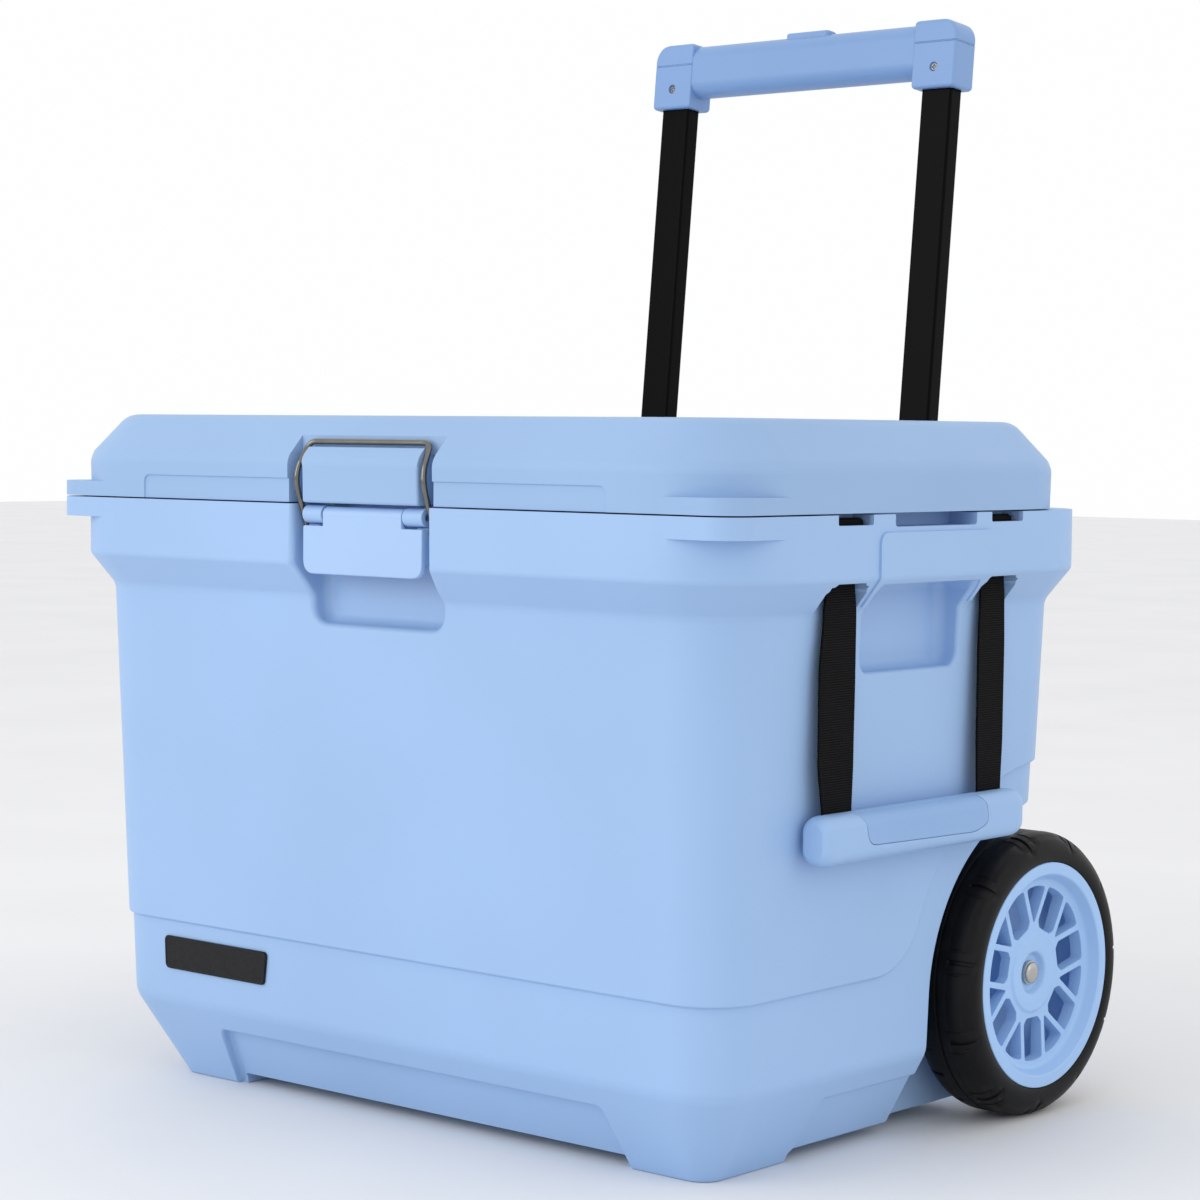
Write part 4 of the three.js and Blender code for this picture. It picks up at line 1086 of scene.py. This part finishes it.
for side, s in SIDES:
    pieces = []
    elbow = elbow_mesh("handle_elbow_" + side)
    bevel(elbow, 0.5, 2, lambda x, d, z: True, 50)
    pieces.append((elbow, "pull_handle", mat_handle, "handle_blue", "grip_elbow_" + side))
    screw = lean_pin("elbow_screw_head_" + side, TUBE_X, -12.2, -9.5, 270, 3.1)
    slots = []
    for w, h in ((1.9, 0.45), (0.45, 1.9)):
        corners = ((-w, -h), (w, -h), (w, h), (-w, h))
        slots.append(lean_loft("slot", [
            [(TUBE_X + a, v, 270 + b) for a, b in corners] for v in (-20, -11.3)
        ]))
    combine(screw, slots)
    bevel(screw, 0.5, 3, None, 50)
    pieces.append((screw, "pull_handle", mat_steel, "steel", "elbow_screw_" + side))
    tube = lean_post("handle_tube_" + side, TUBE_X, 27.5, 15, 2.2, -120, 283.6, 0, 6)
    combine(tube, [lean_post("bore", TUBE_X, 24.5, 12, 1, -122, 290)])
    pieces.append((tube, "pull_handle", mat_tube, "black_tube", "inner_tube_" + side))
    sleeve = lean_post("outer_tube_" + side, TUBE_X, 31.3, 18.8, 2.8, -432, -52, 0, 6)
    combine(sleeve, [lean_post("bore", TUBE_X, 28.2, 15.7, 2, -440, -40)])
    pieces.append((sleeve, "cooler_body", mat_tube, "black_tube", "handle_sleeve_" + side))
    outline = rounded(TUBE_X - 24, TUBE_X + 24, 397, 443, 6, 6)
    guide = prism("tube_guide_" + side, "y", outline, 431.3, 477)
    combine(guide, [
        lean_post("bore", TUBE_X, 31.9, 19.4, 2.5, -140, -51.7),
        lean_post("bore", TUBE_X, 28.5, 16, 2, -60, -20),
    ])
    bevel(guide, 2.0, 3, lambda x, d, z: d > 470 or z > 440, 40)
    pieces.append((guide, "cooler_body", mat_black_plastic, "black_plastic", "handle_guide_" + side))
    outline = rounded(TUBE_X - 23, TUBE_X + 23, 55, 92, 6, 6)
    foot = prism("tube_foot_" + side, "y", outline, 401.4, 443)
    combine(foot, [lean_post("bore", TUBE_X, 31.9, 19.4, 2.5, -432.3, -300)])
    bevel(foot, 1.5, 3, lambda x, d, z: d > 442.5, 40)
    pieces.append((foot, "cooler_body", mat_black_plastic, "black_plastic", "sleeve_foot_" + side))
    for obj, owner, material, slot, node in pieces:
        if s < 0:
            flip_x(obj.data)
        shade(obj)
        place(obj, owner, material, slot, node)

# ---- wheels
LUGS = 11  # repeats of the tread pattern
SHOULDER = 15.0
TREAD_MID = 279.0  # x of the middle of the tread


def polar(r, deg):
    a = math.radians(deg)
    return (WHEEL[0] + r * math.cos(a), WHEEL[1] + r * math.sin(a))


def lathe_x(name, profile, segments=112):
    """A closed (radius, x) profile turned about the wheel axis."""
    turns = [360 * i / segments for i in range(segments)]
    return loft(name, [[pt(x, *polar(r, a)) for r, x in profile] for a in turns], closed=True)


def tyre_profile():
    """(radius, x) from the outer bead over the tread to the inner one."""
    turns = [math.radians(7.5 * k) for k in range(1, 12)]
    pts = [(80.6, 304.0), (82.0, 304.6), (85.0, 305.0)]
    pts += [(86 + SHOULDER * math.sin(a), 290 + SHOULDER * math.cos(a)) for a in turns]
    pts += [(101, x) for x in (290, 287.4, 286.6, 284, 280.3, 279.6, 278.4, 277.7, 274, 271.4, 270.6, 268)]
    pts += [(86 + SHOULDER * math.cos(a), 268 - SHOULDER * math.sin(a)) for a in turns]
    return pts + [(85.0, 253.0), (82.0, 253.4), (80.6, 254.0)]


def tread_cut(a, r, x):
    """How far the tyre's surface lies below its plain profile, a degrees into one repeat."""
    outer = x > TREAD_MID
    across = abs(x - TREAD_MID)
    # The two halves of the tread are staggered by half a repeat.
    start, end = (0.15, 1.85) if outer else (18.15, 19.85)
    bars = ((5.05, 6.15), (28.35, 29.45)) if outer else ((5.05, 6.15),)
    cut = 0.0
    if start < a < end and across >= 7.7 and r > 88.5:
        cut = 1.8 * min(1, (r - 88.5) / 6)
    if any(lo < a < hi for lo, hi in bars) and 7.7 <= across <= 22 and r > 93:
        cut = max(cut, 0.7)
    if outer and 5.05 < a < 29.45 and (7.3 < across < 8.3 or 20 < across < 21.6):
        cut = max(cut, 0.7)
    if across <= 0.7 and r > 100:
        cut = 1.4
    return cut


def tyre_mesh(name):
    profile = tyre_profile()
    stops = [0, 0.3, 1.7, 2.0, 4.9, 5.2, 6.0, 6.3, 11, 15.8,
             18.0, 18.3, 19.7, 20.0, 24, 28.2, 28.5, 29.3, 29.6]
    rings = []
    for unit in range(LUGS):
        for a in stops:
            turn = unit * 360 / LUGS + a + 4
            rings.append([pt(x, *polar(r - tread_cut(a, r, x), turn)) for r, x in profile])
    return loft(name, rings, closed=True)


# (radius, x) around the outline.
HUB = [
    (6.1, 253.6), (20, 253.6), (22, 259), (76, 259), (76, 254), (80.2, 254),
    (80.2, 303.2), (79.9, 304.0), (79.2, 304.4), (72.9, 304.4), (71.8, 304.1), (71.1, 303.4),
    (68.4, 297.6), (67.4, 296.2), (66.0, 295.4), (64.4, 295.1),
    (29.2, 293.1), (28.2, 293.4), (27.2, 294.2), (26.2, 294.6), (25.0, 294.6),
    (16.4, 293.9), (15.4, 293.5), (14.6, 292.4), (13.8, 290.4), (12.8, 289.2), (11.4, 288.8),
    (6.1, 288.8),
]
HUB_HOLLOW = [(20, 262), (74, 262), (74, 285.4), (26, 285.4)]
SPOKE_PAIRS = 7
# (distance out along the window's middle line, distance across it)
WIDE_WINDOW = [(32, -7), (32, 7), (35.8, 11), (61.3, 11), (62.8, 0), (61.3, -11), (35.8, -11)]


def hub_mesh(name):
    obj = lathe_x(name, HUB)
    pitch = 360 / SPOKE_PAIRS
    cuts = [lathe_x("hollow", HUB_HOLLOW)]
    for k in range(SPOKE_PAIRS):
        mid = -90 + k * pitch
        wide = [polar(math.hypot(r, t), mid + math.degrees(math.atan2(t, r))) for r, t in WIDE_WINDOW]
        other = mid + pitch / 2
        narrow = [polar(35.4, other), polar(62, other + 11.2), polar(63, other), polar(62, other - 11.2)]
        for outline, radii in ((wide, [2.5, 2.5, 3, 2.5, 60, 2.5, 3]), (narrow, [1.2, 2.5, 60, 2.5])):
            cuts.append(prism("window", "x", smooth_closed(outline, radii, 6), 265, 320))
    combine(obj, cuts)

    def on_window_edge(x, d, z):
        return x > 286 and 30 < math.hypot(d - WHEEL[0], z - WHEEL[1]) < 63.4

    return bevel(obj, 0.6, 2, on_window_edge, 50)


tyre = tyre_mesh("tyre_tread_right")
hub = hub_mesh("hub_right")
for side, s in SIDES[::-1]:
    if s < 0:
        tyre, hub = mirror_x(tyre, "tyre_tread_left"), mirror_x(hub, "hub_left")
    shade(tyre, 38, False)
    shade(hub, 34)
    place(tyre, "wheel_" + side, mat_tyre, "tyre", "tyre_" + side)
    place(hub, "wheel_" + side, mat_hub, "body_blue", "wheel_hub_" + side)
    cap = turned("axle_nut_" + side, "x", WHEEL, [
        (289.6, 8.5), (290.6, 8.6), (291.2, 8.4), (291.4, 7.6), (292.6, 7.6),
        (293.4, 7.0), (294.0, 5.6), (294.3, 3.4), (294.4, 1.0),
    ], 48)
    if s < 0:
        flip_x(cap.data)
    shade(cap, 40)
    place(cap, "cooler_body", mat_nut, "steel", "axle_cap_" + side)

# ---- CAD pieces kept as they are
KEPT = {
    mat_pin: ("latch_pin", "lid_hinge_pin_left", "lid_hinge_pin_right", "axle", "strap_pin_left_front",
              "strap_pin_left_rear", "strap_pin_right_front", "strap_pin_right_rear", "push_rod_left",
              "push_rod_right", "lock_pin_left", "lock_pin_right"),
    mat_black_plastic: ("wheel_spacer_left", "wheel_spacer_right"),
}
for material, names in KEPT.items():
    for name in names:
        obj = bpy.data.objects[name]
        obj.data.materials.clear()
        obj.data.materials.append(material)
        shade(obj, 40, False)

# ---- floor, light, camera
def floor_finish():
    n = Nodes("studio_floor")
    cloud = n.noise(3.0, 3.0)
    tone = n.ramp(cloud, [(0.3, (0.80, 0.80, 0.805)), (0.7, (0.83, 0.83, 0.835))])
    return n.set(color=tone, roughness=n.span(cloud, 0.62, 0.72), specular=0.15)


bm = bmesh.new()
bmesh.ops.create_grid(bm, x_segments=1, y_segments=1, size=14)
floor = new_object("floor", bm)
floor.data.materials.append(floor_finish())

world = bpy.data.worlds.new("studio")
bpy.context.scene.world = world
world.use_nodes = True
sky = world.node_tree.nodes["Background"]
sky.inputs["Color"].default_value = (0.99, 0.993, 1.0, 1)
sky.inputs["Strength"].default_value = 1.0


def area_light(name, where, aim, size, watts):
    data = bpy.data.lights.new(name, "AREA")
    data.shape = "RECTANGLE"
    data.size, data.size_y = size
    data.energy = watts
    lamp = bpy.data.objects.new(name, data)
    lamp.location = where
    lamp.rotation_euler = (Vector(aim) - Vector(where)).to_track_quat("-Z", "Y").to_euler()
    bpy.context.scene.collection.objects.link(lamp)


area_light("key", (-1.2, -2.9, 1.4), (0, -0.1, 0.3), (2.4, 1.8), 27)
area_light("fill", (3.0, 0.4, 1.6), (0.2, 0, 0.35), (1.8, 2.2), 7)
area_light("top", (0.1, 0.2, 3.2), (0, 0, 0.3), (2.6, 2.6), 0.5)

EYE = (1.4385, -1.6710, 0.4820)
AZ, DOWN, ROLL = (math.radians(v) for v in (40.82, 3.205, 0.568))
ahead = Vector((-math.sin(AZ) * math.cos(DOWN), math.cos(AZ) * math.cos(DOWN), -math.sin(DOWN)))
right = Vector((math.cos(AZ), math.sin(AZ), 0))
up = right.cross(ahead)
cam_x = math.cos(ROLL) * right + math.sin(ROLL) * up
cam_y = math.cos(ROLL) * up - math.sin(ROLL) * right
lens = bpy.data.cameras.new("camera")
lens.lens = 89.79
lens.sensor_width = 36
lens.dof.use_dof = False
camera = bpy.data.objects.new("camera", lens)
rows = zip(cam_x, cam_y, -ahead, EYE)
camera.matrix_world = Matrix((*rows, (0, 0, 0, 1)))
bpy.context.scene.collection.objects.link(camera)
bpy.context.scene.camera = camera
bpy.context.scene.view_settings.view_transform = "Standard"
